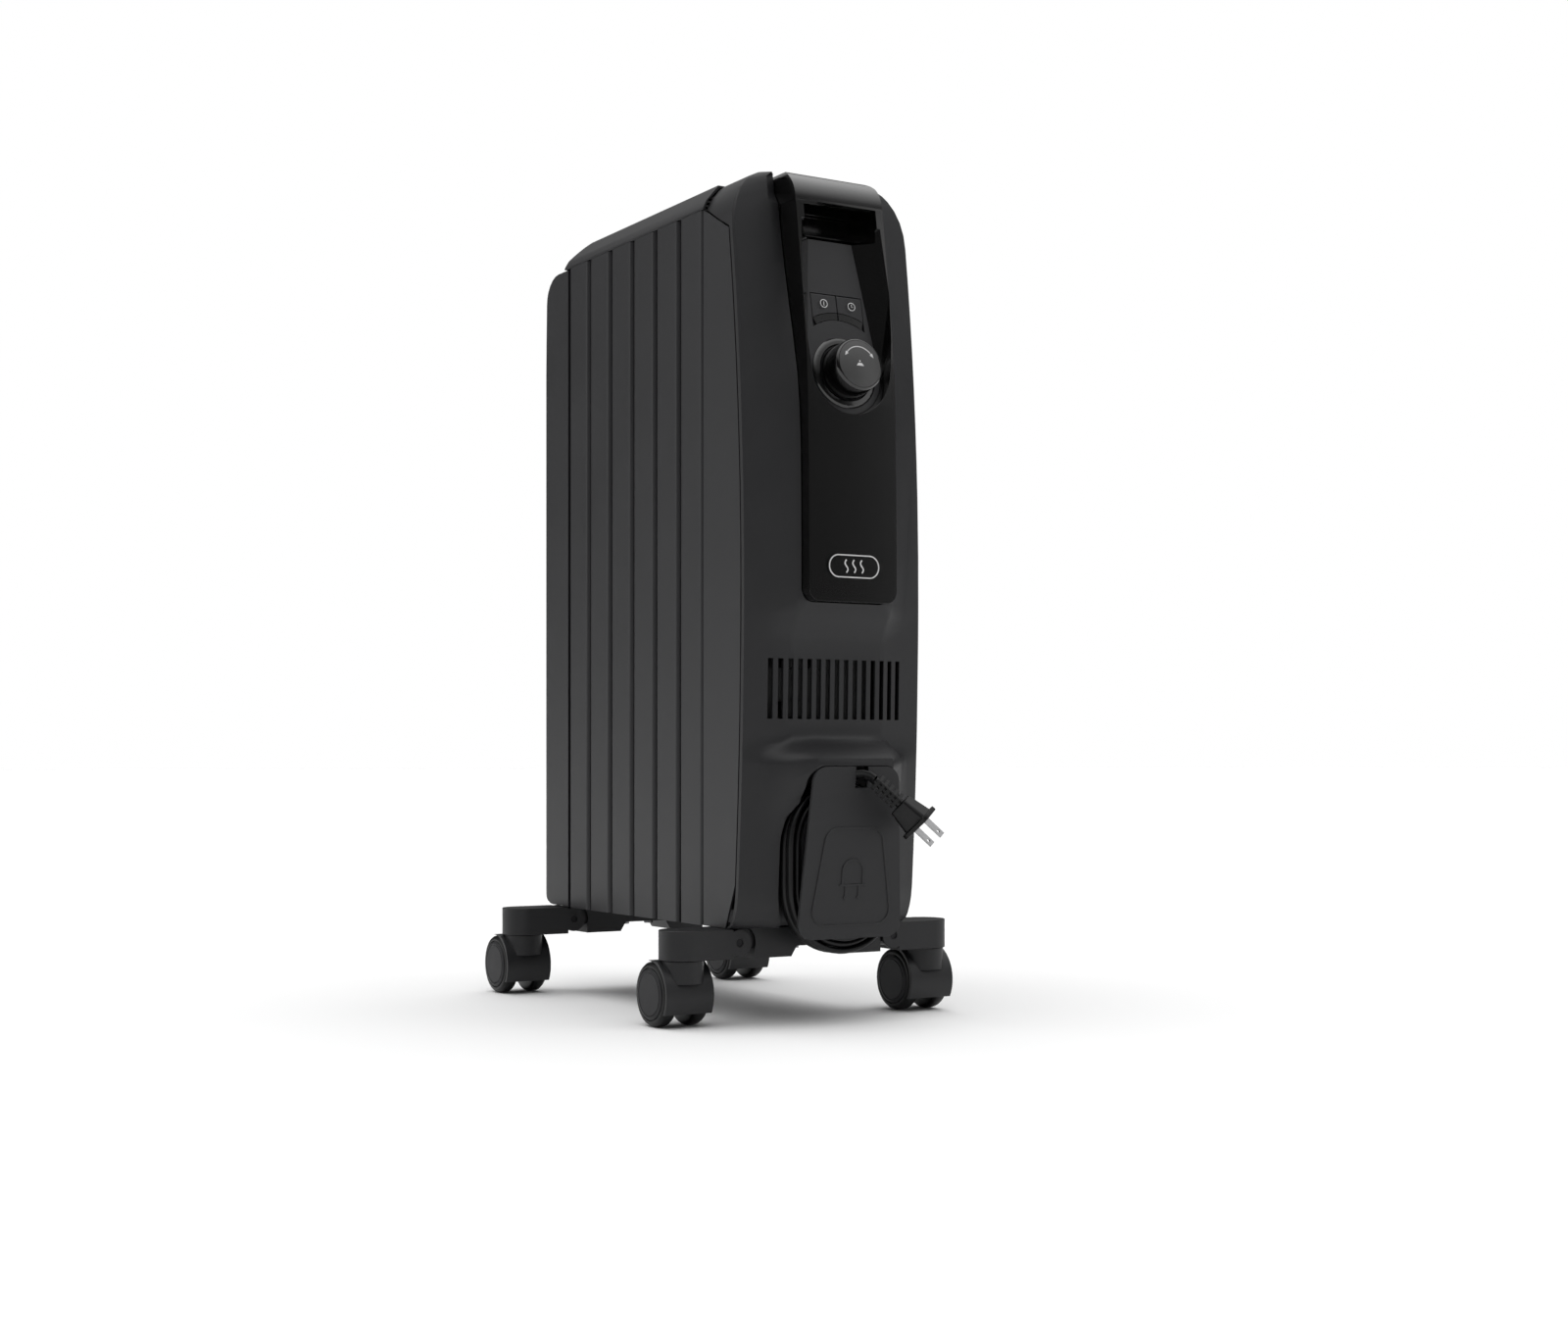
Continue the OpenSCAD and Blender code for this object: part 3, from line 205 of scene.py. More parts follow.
def baked_enamel():
    # Powder enamel baked on steel sheet: a satin skin with a faint orange peel
    return surface("baked_satin_enamel", finishes().enamel, 0.42, ior=1.44, grain=0.02, grain_mm=1.4,
                   mottle=0.05)


def moulded_abs():
    # ABS moulded in an etched tool: a dull, even grain
    return surface("etched_moulded_abs", finishes().shell, 0.5, ior=1.43, grain=0.03, grain_mm=0.9,
                   mottle=0.06, mottle_mm=45)


def glass_filled_nylon():
    # Nylon of the feet: darker and a little waxy
    return surface("moulded_glass_filled_nylon", "#171719", 0.46, ior=1.45, grain=0.035, grain_mm=1.1,
                   mottle=0.08, mottle_mm=25)


def piano_black():
    # ABS moulded in a polished tool: a mirror-like black
    return surface("polished_black_abs", finishes().strip, 0.16, coat=0.35, mottle=0.1, mottle_mm=120)


def smoked_panel():
    # Painted polycarbonate of the control panel: a soft satin grey
    return surface("satin_painted_polycarbonate", "#1F1F21", 0.36, grain=0.012, grain_mm=1.0, mottle=0.05)


def knob_face():
    # Satin painted face of the knob: a grey disc, lighter than the black all round it
    return surface("satin_painted_knob_face", "#3A3A3A", 0.4, grain=0.02, grain_mm=0.8, mottle=0.05,
                   mottle_mm=12)


def white_ink():
    # Pad-printed ink: flat and pale
    return surface("pad_printed_pale_ink", finishes().print_ink, 0.6, mottle=0.04, mottle_mm=8)


def nickel_blade():
    # Nickel plated brass of the plug's blades, lightly scratched
    return surface("nickel_plated_brass", "#A9A9AA", 0.3, metallic=1.0, grain=0.01, grain_mm=0.7,
                   mottle=0.08, mottle_mm=6)


def zinc_steel():
    # Zinc plated steel of pins, screws and axles: a soft grey metallic sheen
    return surface("zinc_plated_steel", "#8E8E90", 0.38, metallic=1.0, grain=0.01, grain_mm=0.8,
                   mottle=0.1, mottle_mm=5)


def blackened_steel():
    # Black oxide steel of the hinge pins: dull with a weak metallic sheen
    return surface("black_oxide_steel", "#1C1C1E", 0.5, metallic=0.6, grain=0.01, grain_mm=0.8,
                   mottle=0.1, mottle_mm=5)


def cord_pvc():
    # Soft PVC of the cord and the plug: deep black with a soft, broad sheen
    return surface("extruded_black_pvc", "#09090A", 0.38, ior=1.36, grain=0.02, grain_mm=0.8,
                   mottle=0.1, mottle_mm=12)


def tread_tpe():
    # Polished black tread of the castor wheels
    return surface("moulded_black_tread", "#040405", 0.34, ior=1.33, grain=0.015, grain_mm=0.8,
                   mottle=0.1, mottle_mm=9)


def hub_grey():
    # Hub cap of the castor wheels, moulded in a blasted tool: matt and greyer than the tread
    return surface("moulded_grey_hub", "#202022", 0.5, ior=1.36, grain=0.03, grain_mm=0.8,
                   mottle=0.06, mottle_mm=9)


def glass_epoxy():
    # Glass epoxy laminate under black solder mask: dark, with a faint weave-like mottle
    return surface("glass_epoxy_under_black_mask", "#0C100E", 0.45, grain=0.02, grain_mm=0.7,
                   mottle=0.15, mottle_mm=4)


def pale_ceramic():
    # Steatite body of the cut-out: pale, dry and even
    return surface("pale_steatite", "#CFCBC0", 0.5, grain=0.02, grain_mm=0.9, mottle=0.05, mottle_mm=5)


# ---- Mesh helpers ----

def settle(obj, body, finish):
    """Gives a finished piece its material and body."""
    obj.data.materials.clear()
    obj.data.materials.append(finish)
    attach(obj, body)
    return obj


def new_piece(name, bm):
    """An object at the origin with the mesh, which is freed."""
    mesh = bpy.data.meshes.new(name)
    bm.normal_update()
    bm.to_mesh(mesh)
    bm.free()
    obj = bpy.data.objects.new(name, mesh)
    bpy.context.scene.collection.objects.link(obj)
    return obj


def frozen(obj):
    """Turns the object's modifiers into plain mesh."""
    bpy.context.view_layer.update()
    made = bpy.data.meshes.new_from_object(obj.evaluated_get(bpy.context.evaluated_depsgraph_get()))
    obj.modifiers.clear()
    obj.data = made
    return obj


def soften(bm, angle):
    """Smooth shading, with edges sharper than angle kept crisp."""
    for f in bm.faces:
        f.smooth = True
    for e in bm.edges:
        e.smooth = len(e.link_faces) == 2 and e.calc_face_angle(0) < angle


def dress(node, name, finish, edge=None, crisp=32.0):
    """A welded and softened copy of a CAD node, with rounded edges if edge is given."""
    bm = bmesh.new()
    bm.from_mesh(frame["nodes"][node].data)
    bmesh.ops.remove_doubles(bm, verts=bm.verts, dist=WELD)
    if edge:
        bmesh.ops.dissolve_limit(bm, angle_limit=math.radians(0.4), verts=bm.verts, edges=bm.edges)
    soften(bm, math.radians(crisp))
    obj = new_piece(name, bm)
    if edge:
        bevel = obj.modifiers.new("edge", "BEVEL")
        bevel.width = edge
        bevel.segments = 2
        bevel.limit_method = "ANGLE"
        bevel.angle_limit = math.radians(crisp)
        bevel.use_clamp_overlap = True
        bevel.harden_normals = False
    weigh = obj.modifiers.new("weigh", "WEIGHTED_NORMAL")
    weigh.keep_sharp = True
    frozen(obj)
    settle(obj, body_of(frame["nodes"][node])[0], finish)
    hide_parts(node)
    return obj


def paint(node, finish):
    """A CAD node shown as it is, in its finish."""
    obj = frame["nodes"][node]
    obj.data.materials.clear()
    obj.data.materials.append(finish)
    return obj


def lathe(profile, steps, place):
    """Turns (radius, height) points round an axis. place maps (x, y, height) to the row frame."""
    bm = bmesh.new()
    rings = []
    for r, h in profile:
        if r < 1e-9:
            rings.append([bm.verts.new(place(0, 0, h))])
        else:
            rings.append([bm.verts.new(place(r * math.cos(2 * math.pi * k / steps),
                                             r * math.sin(2 * math.pi * k / steps), h))
                          for k in range(steps)])
    for a, b in zip(rings, rings[1:]):
        for k in range(steps):
            n = (k + 1) % steps
            if len(a) == 1 and len(b) > 1:
                bm.faces.new((a[0], b[k], b[n]))
            elif len(b) == 1 and len(a) > 1:
                bm.faces.new((a[k], b[0], a[n]))
            elif len(a) > 1:
                bm.faces.new((a[k], b[k], b[n], a[n]))
    bmesh.ops.recalc_face_normals(bm, faces=bm.faces)
    return bm


def arc(cx, cy, r, a0, a1, steps):
    """Points on a round from angle a0 to a1, in degrees."""
    return [(cx + r * math.cos(math.radians(a0 + (a1 - a0) * k / steps)),
             cy + r * math.sin(math.radians(a0 + (a1 - a0) * k / steps))) for k in range(steps + 1)]


def slab(bm, outline, place, low, high):
    """A closed plate over a convex outline of (u, v) points, from low to high above its surface."""
    lower = [bm.verts.new(place(u, v, low)) for u, v in outline]
    upper = [bm.verts.new(place(u, v, high)) for u, v in outline]
    bm.faces.new(lower[::-1])
    bm.faces.new(upper)
    for k in range(len(outline)):
        n = (k + 1) % len(outline)
        bm.faces.new((lower[k], lower[n], upper[n], upper[k]))


def stroke(bm, line, width, place, low, high, closed=False):
    """A closed ribbon of the given width along (u, v) points."""
    n = len(line)
    left, right = [], []
    for i, (u, v) in enumerate(line):
        a = line[i - 1] if closed or i > 0 else line[i]
        b = line[(i + 1) % n] if closed or i < n - 1 else line[i]
        t = Vector((b[0] - a[0], b[1] - a[1])).normalized()
        left.append((u - t.y * width / 2, v + t.x * width / 2))
        right.append((u + t.y * width / 2, v - t.x * width / 2))
    rows = [[bm.verts.new(place(u, v, h)) for u, v in side]
            for side, h in ((left, low), (right, low), (right, high), (left, high))]
    count = n if closed else n - 1
    for k in range(count):
        m = (k + 1) % n
        for a in range(4):
            b = (a + 1) % 4
            bm.faces.new((rows[a][k], rows[b][k], rows[b][m], rows[a][m]))
    if not closed:
        bm.faces.new([rows[a][0] for a in range(4)][::-1])
        bm.faces.new([rows[a][n - 1] for a in range(4)])


def on_panel(u, v, out):
    """A point on the leaning control panel: across, up from the knob, and out from its face."""
    return KNOB_AT + Vector((u, 0, 0)) + PANEL_UP * v + PANEL_OUT * out


def printed(name, bm, body, finish):
    """A finished piece of ink or trim from strokes and slabs."""
    bmesh.ops.recalc_face_normals(bm, faces=bm.faces)
    return settle(new_piece(name, bm), body, finish)


# ---- Geometry Nodes: what repeats ----

def repeat_tree():
    """A tree that repeats its own mesh along a straight line and gives it a finish."""
    found = bpy.data.node_groups.get("repeat_along_line")
    if found:
        return found
    tree = bpy.data.node_groups.new("repeat_along_line", "GeometryNodeTree")
    face = tree.interface
    face.new_socket("Geometry", in_out="INPUT", socket_type="NodeSocketGeometry")
    face.new_socket("Count", in_out="INPUT", socket_type="NodeSocketInt")
    face.new_socket("Step", in_out="INPUT", socket_type="NodeSocketVector")
    face.new_socket("Finish", in_out="INPUT", socket_type="NodeSocketMaterial")
    face.new_socket("Geometry", in_out="OUTPUT", socket_type="NodeSocketGeometry")
    given = add(tree, "NodeGroupInput").outputs
    line = add(tree, "GeometryNodeMeshLine", [("Count", given["Count"]), ("Offset", given["Step"])])
    put = add(tree, "GeometryNodeInstanceOnPoints", [
        ("Points", line.outputs["Mesh"]), ("Instance", given["Geometry"])])
    real = add(tree, "GeometryNodeRealizeInstances", [("Geometry", put.outputs["Instances"])])
    done = add(tree, "GeometryNodeSetMaterial", [
        ("Geometry", real.outputs["Geometry"]), ("Material", given["Finish"])])
    add(tree, "NodeGroupOutput", [("Geometry", done.outputs["Geometry"])])
    return tree


def repeat(obj, count, step, finish):
    """Repeats the object's mesh along a line and leaves a plain mesh."""
    tree = repeat_tree()
    mod = obj.modifiers.new("repeat", "NODES")
    mod.node_group = tree
    ids = {i.name: i.identifier for i in tree.interface.items_tree if i.in_out == "INPUT"}
    mod[ids["Count"]] = count
    mod[ids["Step"]] = list(step)
    mod[ids["Finish"]] = finish
    return frozen(obj)


# ---- Operators ----

class HEATER_OT_body(bpy.types.Operator):
    """Element panels, top frame, rear cover and front housing"""
    bl_idname = "heater.body"
    bl_label = "Body"

    def execute(self, context):
        count = sum(1 for n in frame["nodes"] if n.startswith("fin_"))
        for i in range(1, count + 1):
            dress(f"fin_{i}", f"element_{i}", baked_enamel(), crisp=28)
        dress("front_collar", "side_band", baked_enamel(), crisp=20)
        dress("top_frame", "top_frame_moulding", moulded_abs(), edge=sizes().edge,
              crisp=24)
        dress("rear_cover", "rear_cover_shell", baked_enamel(), crisp=25)
        dress("front_cover", "front_housing", moulded_abs(), crisp=34)
        return {"FINISHED"}


class HEATER_OT_controls(bpy.types.Operator):
    """Control strip with its handle, panel, keys, knob and badge"""
    bl_idname = "heater.controls"
    bl_label = "Controls"

    def execute(self, context):
        edge = sizes().edge
        ink = sizes().print_h
        dress("control_fascia", "control_strip", piano_black(), edge=edge)
        dress("handle_bar", "handle_bar_moulding", piano_black(), edge=edge)
        dress("handle_pocket", "finger_tray", piano_black(), edge=edge)
        dress("display_panel", "control_panel", smoked_panel(), edge=0.3 * MM)
        for side, node in ((-1, "power_key"), (1, "timer_key")):
            dress(node, f"{node}_cap", smoked_panel(), edge=0.3 * MM)
            # printed symbol: a ring with a bar in it, and a ring with two hands
            bm = bmesh.new()
            u, v = side * 12.6 * MM, 55 * MM
            stroke(bm, arc(u, v, 3.1 * MM, 0, 345, 28), 0.55 * MM, on_panel, 0, ink, closed=True)
            if side < 0:
                stroke(bm, [(u, v - 1.6 * MM), (u, v + 1.6 * MM)], 0.6 * MM, on_panel, 0, ink)
            else:
                stroke(bm, [(u, v + 1.9 * MM), (u, v), (u + 1.4 * MM, v - 0.5 * MM)], 0.5 * MM,
                       on_panel, 0, ink)
            printed(f"{node}_symbol", bm, node, white_ink())
            # glossy lip under the key
            bm = bmesh.new()
            span = (90.8, 118) if side < 0 else (62, 89.2)
            stroke(bm, arc(0, 0, 46 * MM, *span, 14), 5.4 * MM, on_panel, -1.8 * MM, -1.55 * MM)
            printed(f"{node}_lip", bm, node, piano_black())
        self.knob(ink)
        dress("knob_ring", "knob_surround", piano_black(), crisp=40)
        self.badge()
        return {"FINISHED"}

    def knob(self, ink):
        top = 21.4 * MM                                       # knob's rim above the panel
        side = [(0, 4 * MM), (17 * MM, 4 * MM), (18 * MM, 0.6 * MM), (21.0 * MM, 0.6 * MM),
                (21.5 * MM, 1.2 * MM), (21.3 * MM, 5 * MM), (20.6 * MM, top - 2.2 * MM),
                (20.2 * MM, top - 1.1 * MM), (19.4 * MM, top - 0.3 * MM), (18.9 * MM, top - 0.1 * MM),
                (18.5 * MM, top - 0.5 * MM), (0, top - 0.5 * MM)]
        bm = lathe(side, RIM_STEPS, on_panel)
        soften(bm, math.radians(40))
        knob = settle(new_piece("thermostat_knob_body", bm), "knob", piano_black())
        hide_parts("thermostat_knob")
        face = lathe([(0, top - 0.6 * MM), (18.4 * MM, top - 0.6 * MM), (18.4 * MM, top - 0.3 * MM),
                      (17.9 * MM, top - 0.05 * MM), (0, top - 0.05 * MM)], RIM_STEPS, on_panel)
        soften(face, math.radians(40))
        settle(new_piece("knob_face_plate", face), "knob", knob_face())
        # arc with an arrow head at each end
        bm = bmesh.new()
        scale_r = 13.6 * MM
        low, high = top - 0.1 * MM, top - 0.05 * MM + ink
        stroke(bm, arc(0, 0, scale_r, 38, 142, 30), 0.7 * MM, on_panel, low, high)
        for a, turn in ((38, -1), (142, 1)):
            at = Vector((math.cos(math.radians(a)), math.sin(math.radians(a)))) * scale_r
            ahead = Vector((-at.y, at.x)).normalized() * turn
            out = at.normalized()
            tip = at + ahead * 3.4 * MM
            slab(bm, [tuple(at + out * 1.5 * MM), tuple(at - out * 1.5 * MM), tuple(tip)][::turn],
                 on_panel, low, high)
        # level mark: a small wedge with a dot over it
        slab(bm, [(-3.2 * MM, -1.6 * MM), (3.2 * MM, -1.6 * MM), (1.5 * MM, 0.6 * MM), (-1.5 * MM, 0.6 * MM)],
             on_panel, low, high)
        slab(bm, arc(0, 2.0 * MM, 0.7 * MM, 0, 330, 11), on_panel, low, high)
        printed("knob_symbols", bm, "knob", white_ink())

    def badge(self):
        lo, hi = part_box("badge")
        mid = (lo + hi) / 2                                   # middle of the badge
        half_h = (hi.z - lo.z) / 2
        half_w = (hi.x - lo.x) / 2

        def on_badge(u, v, out):
            return Vector((u, lo.y + 0.35 * MM - out, mid.z + v))

        def pill(inset):
            r = half_h - inset
            c = half_w - half_h
            return arc(c, 0, r, -90, 90, 16) + arc(-c, 0, r, 90, 270, 16)

        bm = bmesh.new()
        slab(bm, pill(0.1 * MM), on_badge, -0.5 * MM, 0.0)
        plate = settle(new_piece("badge_plate", bm), "heater", piano_black())
        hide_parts("badge")
        bm = bmesh.new()
        stroke(bm, pill(1.6 * MM), 0.9 * MM, on_badge, -0.05 * MM, 0.3 * MM, closed=True)
        printed("badge_rim", bm, "heater", white_ink())
        # three rising waves of warmth
        bm = bmesh.new()
        for k in (-1, 0, 1):
            wave = [(k * 7 * MM + 1.3 * MM * math.sin(t * 0.9), (t - 3.5) * 1.4 * MM) for t in
                    [i * 0.5 for i in range(15)]]
            stroke(bm, wave, 1.1 * MM, on_badge, -0.05 * MM, 0.25 * MM)
        printed("badge_symbol", bm, "heater", white_ink())


class HEATER_OT_inside(bpy.types.Operator):
    """Boards, heating element and the other inner pieces"""
    bl_idname = "heater.inside"
    bl_label = "Inside"

    def execute(self, context):
        for node, finish, slot_name in (
                ("heat_shield", blackened_steel(), "steel"), ("rotary_encoder", zinc_steel(), "steel"),
                ("control_board", glass_epoxy(), "circuit_board"),
                ("power_board", glass_epoxy(), "circuit_board"),
                ("heating_element", zinc_steel(), "steel"), ("element_gasket", cord_pvc(), "cord_rubber"),
                ("thermal_cutout", pale_ceramic(), "pale_plastic"), ("filler_plug", zinc_steel(), "steel"),
                ("cover_screws", zinc_steel(), "steel"), ("foot_screws", zinc_steel(), "steel"),
                ("fold_pins", blackened_steel(), "steel")):
            paint(node, finish)
        return {"FINISHED"}


class HEATER_OT_cord(bpy.types.Operator):
    """The wound flat cord, its gland, post, cover and plug"""
    bl_idname = "heater.cord"
    bl_label = "Cord"

    def execute(self, context):
        dress("cord_gland", "cord_boot", cord_pvc(), edge=0.4 * MM)
        dress("cord_wrap_post", "cord_winding_post", moulded_abs(), crisp=40)
        dress("cord_cover", "cord_cover_plate", moulded_abs(), edge=0.5 * MM)
        relief, body, blades = self.plug()
        path = self.path()
        obj = self.flat_tube("mains_cord", path)
        settle(obj, "heater", cord_pvc())
        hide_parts("cord_coil", "cord_tail")
        return {"FINISHED"}

    def path(self):
        """Turns round the post, two side by side and two deep, then the free end."""
        lo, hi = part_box("cord_coil")
        wide, thick = sizes().cord_w, sizes().cord_t
        mid_z = (lo.z + hi.z) / 2
        straight = ((hi.z - lo.z) - (hi.x - lo.x)) / 2        # half length of the ring's straight sides
        back = FRONT - hi.y                                   # depth of the ring's back
        radii = [(hi.x - lo.x) / 2 - thick * 1.5 - 0.3 * MM, (hi.x - lo.x) / 2 - thick * 0.5 - 0.15 * MM]
        depths = [back + wide / 2 + 0.05 * MM, back + wide * 1.5 + 0.3 * MM]
        lanes = [(radii[0], depths[1]), (radii[0], depths[0]), (radii[1], depths[0]), (radii[1], depths[1])]

        def at(s, r, d):
            """Point at s turns, clockwise from the right side's lower end, on a ring of radius r."""
            run = 2 * math.pi * r + 4 * straight
            t = (s % 1) * run
            if t < math.pi * r:                              # lower bend, from right to left
                a = -t / r
                return Vector((r * math.cos(a), FRONT - d, mid_z - straight + r * math.sin(a)))
            t -= math.pi * r
            if t < 2 * straight:
                return Vector((-r, FRONT - d, mid_z - straight + t))
            t -= 2 * straight
            if t < math.pi * r:
                a = math.pi - t / r
                return Vector((r * math.cos(a), FRONT - d, mid_z + straight + r * math.sin(a)))
            t -= math.pi * r
            return Vector((r, FRONT - d, mid_z + straight - t))

        points = []
        per_turn = 72
        change = (0.80, 0.98)                                 # part of a turn where the cord changes lane
        end = 3.615                                           # turns before the free end
        steps = int(end * per_turn)
        for k in range(1, steps + 1):
            s = end * k / steps
            lane = min(int(s), 3)
            f = s - lane
            t = min(1, max(0, (f - change[0]) / (change[1] - change[0])))
            t = t * t * (3 - 2 * t)
            nxt = lanes[min(lane + 1, 3)]
            here = lanes[lane]
            points.append(at(s, here[0] + (nxt[0] - here[0]) * t, here[1] + (nxt[1] - here[1]) * t))
        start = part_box("cord_gland")[0].z
        points.insert(0, Vector((lanes[0][0], FRONT - lanes[0][1], start)))
        tail = [route_point(p) for p in TAIL]
        points = [p for p in points if not (p.x > tail[0].x - 5 * MM and p.z > mid_z + 20 * MM
                                             and len(points) - points.index(p) < 12)]
        return smooth_line(points + tail)

    def flat_tube(self, name, path):
        """A flat cord with two rounded cores, swept along the path."""
        wide, thick = sizes().cord_w, sizes().cord_t
        section = []
        for k in range(16):
            a = 2 * math.pi * k / 16
            waist = 1 - 0.22 * math.exp(-(math.cos(a) / 0.28) ** 2)
            section.append((math.cos(a) * wide / 2, math.sin(a) * thick / 2 * waist))
        bm = bmesh.new()
        rings = []
        wide_dir = Vector((0, -1, 0))
        for i, p in enumerate(path):
            t = (path[min(i + 1, len(path) - 1)] - path[max(i - 1, 0)]).normalized()
            if i > len(path) - 22:
                wide_dir = (wide_dir * 0.8 + Vector((0, -0.86, 0.51)) * 0.2).normalized()
            w = (wide_dir - t * wide_dir.dot(t)).normalized()
            n = t.cross(w)
            rings.append([bm.verts.new(p + w * u + n * v) for u, v in section])
        for a, b in zip(rings, rings[1:]):
            for k in range(16):
                m = (k + 1) % 16
                bm.faces.new((a[k], b[k], b[m], a[m]))
        bm.faces.new(rings[0])
        bm.faces.new(rings[-1][::-1])
        bmesh.ops.recalc_face_normals(bm, faces=bm.faces)
        soften(bm, math.radians(50))
        return new_piece(name, bm)

    def plug(self):
        at = route_point(TAIL[-1])
        turn = Matrix.Rotation(math.atan2(PLUG_DIR.y, PLUG_DIR.x), 3, "Z") @ Matrix.Rotation(
            math.acos(PLUG_DIR.z), 3, "Y") @ Matrix.Rotation(PLUG_ROLL, 3, "Z")

        def on_plug(u, v, w):
            return at + turn @ Vector((u, v, w))

        # tapered core of the strain relief
        bm = lathe([(0, 0), (2.8 * MM, 0), (3.0 * MM, 1 * MM), (3.6 * MM, RELIEF_L - 1 * MM), (0, RELIEF_L)],
                   24, on_plug)
        soften(bm, math.radians(40))
        core = settle(new_piece("plug_relief_core", bm), "heater", cord_pvc())
        # ribs, repeated along it
        bm = bmesh.new()
        rib = [(-5.6, -4.0), (-4.4, -4.8), (4.4, -4.8), (5.6, -4.0), (5.6, 4.0), (4.4, 4.8),
               (-4.4, 4.8), (-5.6, 4.0)]
        slab(bm, [(u * MM, v * MM) for u, v in rib], lambda u, v, w: on_plug(u, v, w + 1.6 * MM), 0, 2.6 * MM)
        bmesh.ops.recalc_face_normals(bm, faces=bm.faces)
        ribs = new_piece("plug_relief_ribs", bm)
        repeat(ribs, 5, turn @ Vector((0, 0, 4.9 * MM)), cord_pvc())
        settle(ribs, "heater", cord_pvc())
        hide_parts("plug_strain_relief")
        body = dress("plug_body", "plug_moulding", cord_pvc(), edge=0.8 * MM)
        blades = dress("plug_blades", "plug_flat_blades", nickel_blade(), edge=0.25 * MM)
        ribs.parent = core
        ribs.matrix_parent_inverse = Matrix.Identity(4)
        return core, body, blades


def smooth_line(points, rounds=2):
    """Evens out a line of points without moving its ends."""
    for _ in range(rounds):
        points = [points[0]] + [(a + b * 2 + c) / 4 for a, b, c in
                                zip(points, points[1:], points[2:])] + [points[-1]]
    return points


class HEATER_OT_feet(bpy.types.Operator):
    """Foot bars and their fold-out arms"""
    bl_idname = "heater.feet"
    bl_label = "Feet"

    def execute(self, context):
        for end in STEMS:
            dress(f"{end}_foot_bar", f"{end}_foot_beam", glass_filled_nylon(),
                  edge=0.8 * MM)
            for side in SIDES:
                dress(f"{end}_{side}_arm", f"{end}_{side}_foot_arm", glass_filled_nylon(),
                      edge=1.2 * MM)
        return {"FINISHED"}


class HEATER_OT_castors(bpy.types.Operator):
    """Twin-wheel castors"""
    bl_idname = "heater.castors"
    bl_label = "Castors"

    def execute(self, context):
        for end, stem_y in STEMS.items():
            for name, side in SIDES.items():
                dress(f"{end}_{name}_hood", f"{end}_{name}_fender", glass_filled_nylon(),
                      edge=0.8 * MM)
                dress(f"{end}_{name}_axle", f"{end}_{name}_axle_pin", zinc_steel(), crisp=40)
                for which, face in (("out", side), ("in", -side)):
                    self.wheel(f"{end}_{name}_wheel_{which}", side * STEM_X + face * WHEEL_X,
                               stem_y + TRAIL, face)
        return {"FINISHED"}

    def wheel(self, node, x, y, face):
        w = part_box(node)[1].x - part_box(node)[0].x
        r = WHEEL_R

        def place(u, v, h):
            return Vector((x + face * h, y + u, r + v * face))

        half = w / 2
        bore = 4 * MM
        tread = [(bore, -half), (r - 3.2 * MM, -half), (r - 1.2 * MM, -half + 0.6 * MM),
                 (r - 0.2 * MM, -half + 2 * MM), (r, -half + 3.2 * MM), (r, half - 5 * MM),
                 (r - 0.3 * MM, half - 3.4 * MM), (r - 1.4 * MM, half - 1.9 * MM),
                 (r - 3.0 * MM, half - 1.2 * MM), (r - 4.6 * MM, half - 1.3 * MM),
                 (r - 5.0 * MM, half - 2.2 * MM), (bore, half - 2.2 * MM), (bore, -half)]
        bm = lathe(tread, RIM_STEPS, place)
        bmesh.ops.remove_doubles(bm, verts=bm.verts, dist=1e-7)
        bmesh.ops.recalc_face_normals(bm, faces=bm.faces)
        soften(bm, math.radians(45))
        tyre = settle(new_piece(f"{node}_tread", bm), node, tread_tpe())
        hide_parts(node)
        cap = [(0, half - 2.6 * MM), (r - 5.4 * MM, half - 2.6 * MM), (r - 5.4 * MM, half - 1.0 * MM),
               (r - 6.0 * MM, half - 0.4 * MM), (r - 7.6 * MM, half - 0.2 * MM),
               (r - 8.0 * MM, half - 0.6 * MM), (r - 8.6 * MM, half - 0.65 * MM),
               (r - 9.0 * MM, half - 0.15 * MM), (6 * MM, half - 0.02 * MM), (0, half)]
        bm = lathe(cap, RIM_STEPS, place)
        soften(bm, math.radians(45))
        settle(new_piece(f"{node}_cap", bm), node, hub_grey())


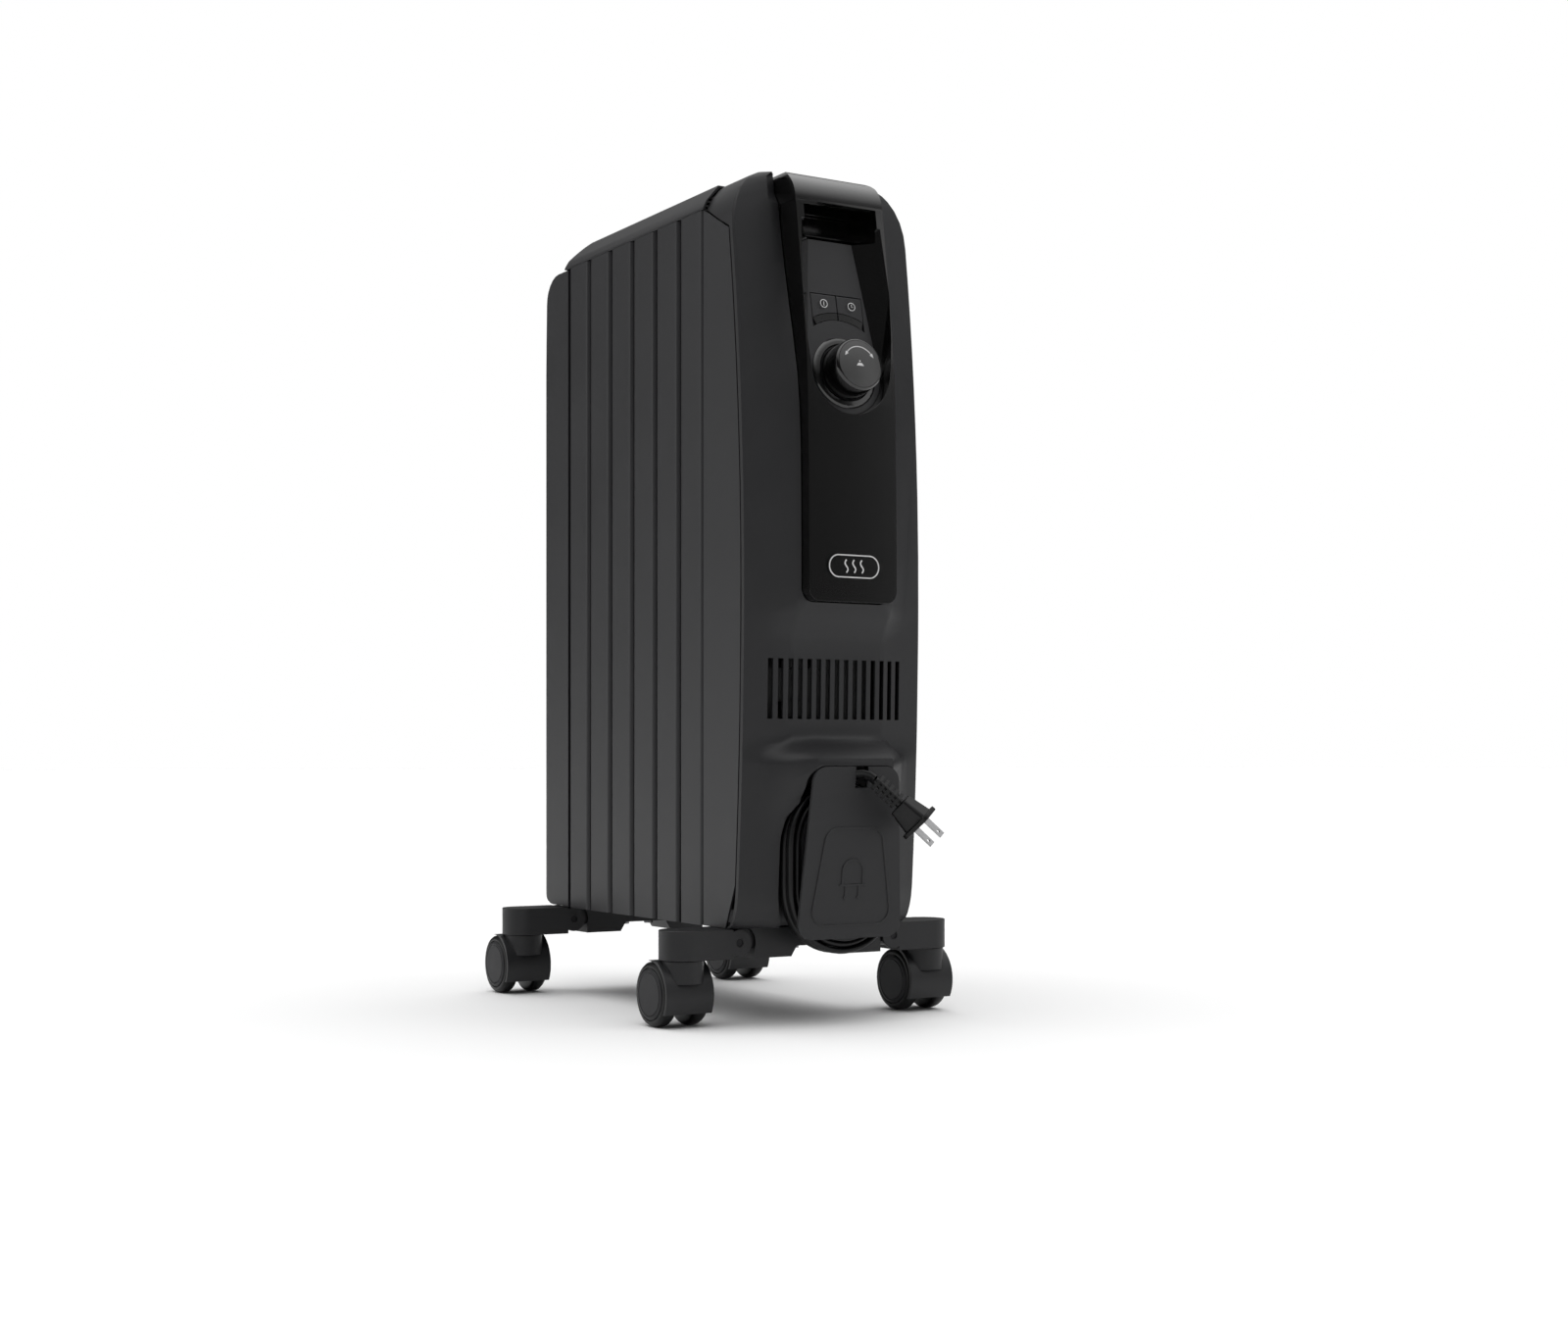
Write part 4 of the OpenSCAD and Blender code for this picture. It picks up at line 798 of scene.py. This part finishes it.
class HEATER_OT_stage(bpy.types.Operator):
    """Floor, studio light and camera"""
    bl_idname = "heater.stage"
    bl_label = "Stage"

    def execute(self, context):
        scene = context.scene
        bm = bmesh.new()
        bmesh.ops.create_grid(bm, x_segments=1, y_segments=1, size=40)
        floor = new_piece("studio_floor", bm)
        floor.location.z = -0.2 * MM
        pale = bpy.data.materials.new("pale_studio_floor")
        pale.use_nodes = True
        pale.node_tree.nodes["Principled BSDF"].inputs["Base Color"].default_value = linear("#FBFBFB")
        pale.node_tree.nodes["Principled BSDF"].inputs["Roughness"].default_value = 0.9
        floor.data.materials.append(pale)
        self.camera(scene)
        self.light("side_softbox", (-2.7, 1.9, 1.0), (0, 0, 0.35), (2.2, 2.2), 15)
        self.light("front_softbox", (2.6, -2.4, 1.3), (0, 0, 0.35), (1.6, 2.0), 11)
        self.world(scene)
        scene.view_settings.view_transform = "Standard"
        scene.view_settings.look = "None"
        return {"FINISHED"}

    def camera(self, scene):
        data = bpy.data.cameras.new("studio_camera")
        data.sensor_width = 36
        data.lens = 49.74
        data.shift_y = 0.0578
        data.clip_start = 0.05
        data.clip_end = 100
        cam = bpy.data.objects.new("studio_camera", data)
        cam.location = (-0.9063, -1.57165, 0.20436)
        cam.rotation_euler = (math.radians(90), 0, math.radians(-31.46))
        scene.collection.objects.link(cam)
        scene.camera = cam

    def light(self, name, at, towards, size, power):
        data = bpy.data.lights.new(name, "AREA")
        data.shape = "RECTANGLE"
        data.size, data.size_y = size
        data.energy = power
        obj = bpy.data.objects.new(name, data)
        obj.location = at
        obj.rotation_euler = (Vector(towards) - Vector(at)).to_track_quat("-Z", "Y").to_euler()
        bpy.context.scene.collection.objects.link(obj)

    def world(self, scene):
        world = bpy.data.worlds.new("studio")
        scene.world = world
        world.use_nodes = True
        tree = world.node_tree
        tree.nodes.clear()
        seen = add(tree, "ShaderNodeLightPath").outputs["Is Camera Ray"]
        way = add(tree, "ShaderNodeTexCoord").outputs["Generated"]
        height = add(tree, "ShaderNodeSeparateXYZ", [("Vector", way)]).outputs["Z"]
        overhead = add(tree, "ShaderNodeMapRange", [
            ("Value", height), ("From Min", 0.45), ("From Max", 0.9), ("To Min", 0.08), ("To Max", 2.05)])
        ceiling = add(tree, "ShaderNodeBackground", [
            ("Color", (1, 1, 1, 1)), ("Strength", overhead.outputs["Result"])])
        backdrop = add(tree, "ShaderNodeBackground", [("Color", (1, 1, 1, 1)), ("Strength", 1.0)])
        both = add(tree, "ShaderNodeMixShader", [
            (0, seen), (1, ceiling.outputs[0]), (2, backdrop.outputs[0])])
        add(tree, "ShaderNodeOutputWorld", [("Surface", both.outputs[0])])


class HEATER_PT_panel(bpy.types.Panel):
    """Lists the steps that finish the heater"""
    bl_idname = "HEATER_PT_panel"
    bl_label = "Heater"
    bl_space_type = "VIEW_3D"
    bl_region_type = "UI"
    bl_category = "Heater"

    def draw(self, context):
        for group in (context.scene.heater_finishes, context.scene.heater_sizes):
            for key in group.__annotations__:
                self.layout.prop(group, key)
        for step in STEPS:
            self.layout.operator(step.bl_idname)


STEPS = (HEATER_OT_stage, HEATER_OT_cord, HEATER_OT_body, HEATER_OT_controls, HEATER_OT_inside,
         HEATER_OT_feet, HEATER_OT_castors)
CLASSES = (HeaterFinishes, HeaterSizes, *STEPS, HEATER_PT_panel)


def register():
    for cls in CLASSES:
        bpy.utils.register_class(cls)
    bpy.types.Scene.heater_finishes = bpy.props.PointerProperty(type=HeaterFinishes)
    bpy.types.Scene.heater_sizes = bpy.props.PointerProperty(type=HeaterSizes)


def unregister():
    del bpy.types.Scene.heater_sizes
    del bpy.types.Scene.heater_finishes
    for cls in reversed(CLASSES):
        bpy.utils.unregister_class(cls)


def main():
    register()
    bpy.ops.heater.stage()
    bpy.ops.heater.cord()
    bpy.ops.heater.body()
    bpy.ops.heater.controls()
    bpy.ops.heater.inside()
    bpy.ops.heater.feet()
    bpy.ops.heater.castors()


if __name__ == "__main__":
    main()
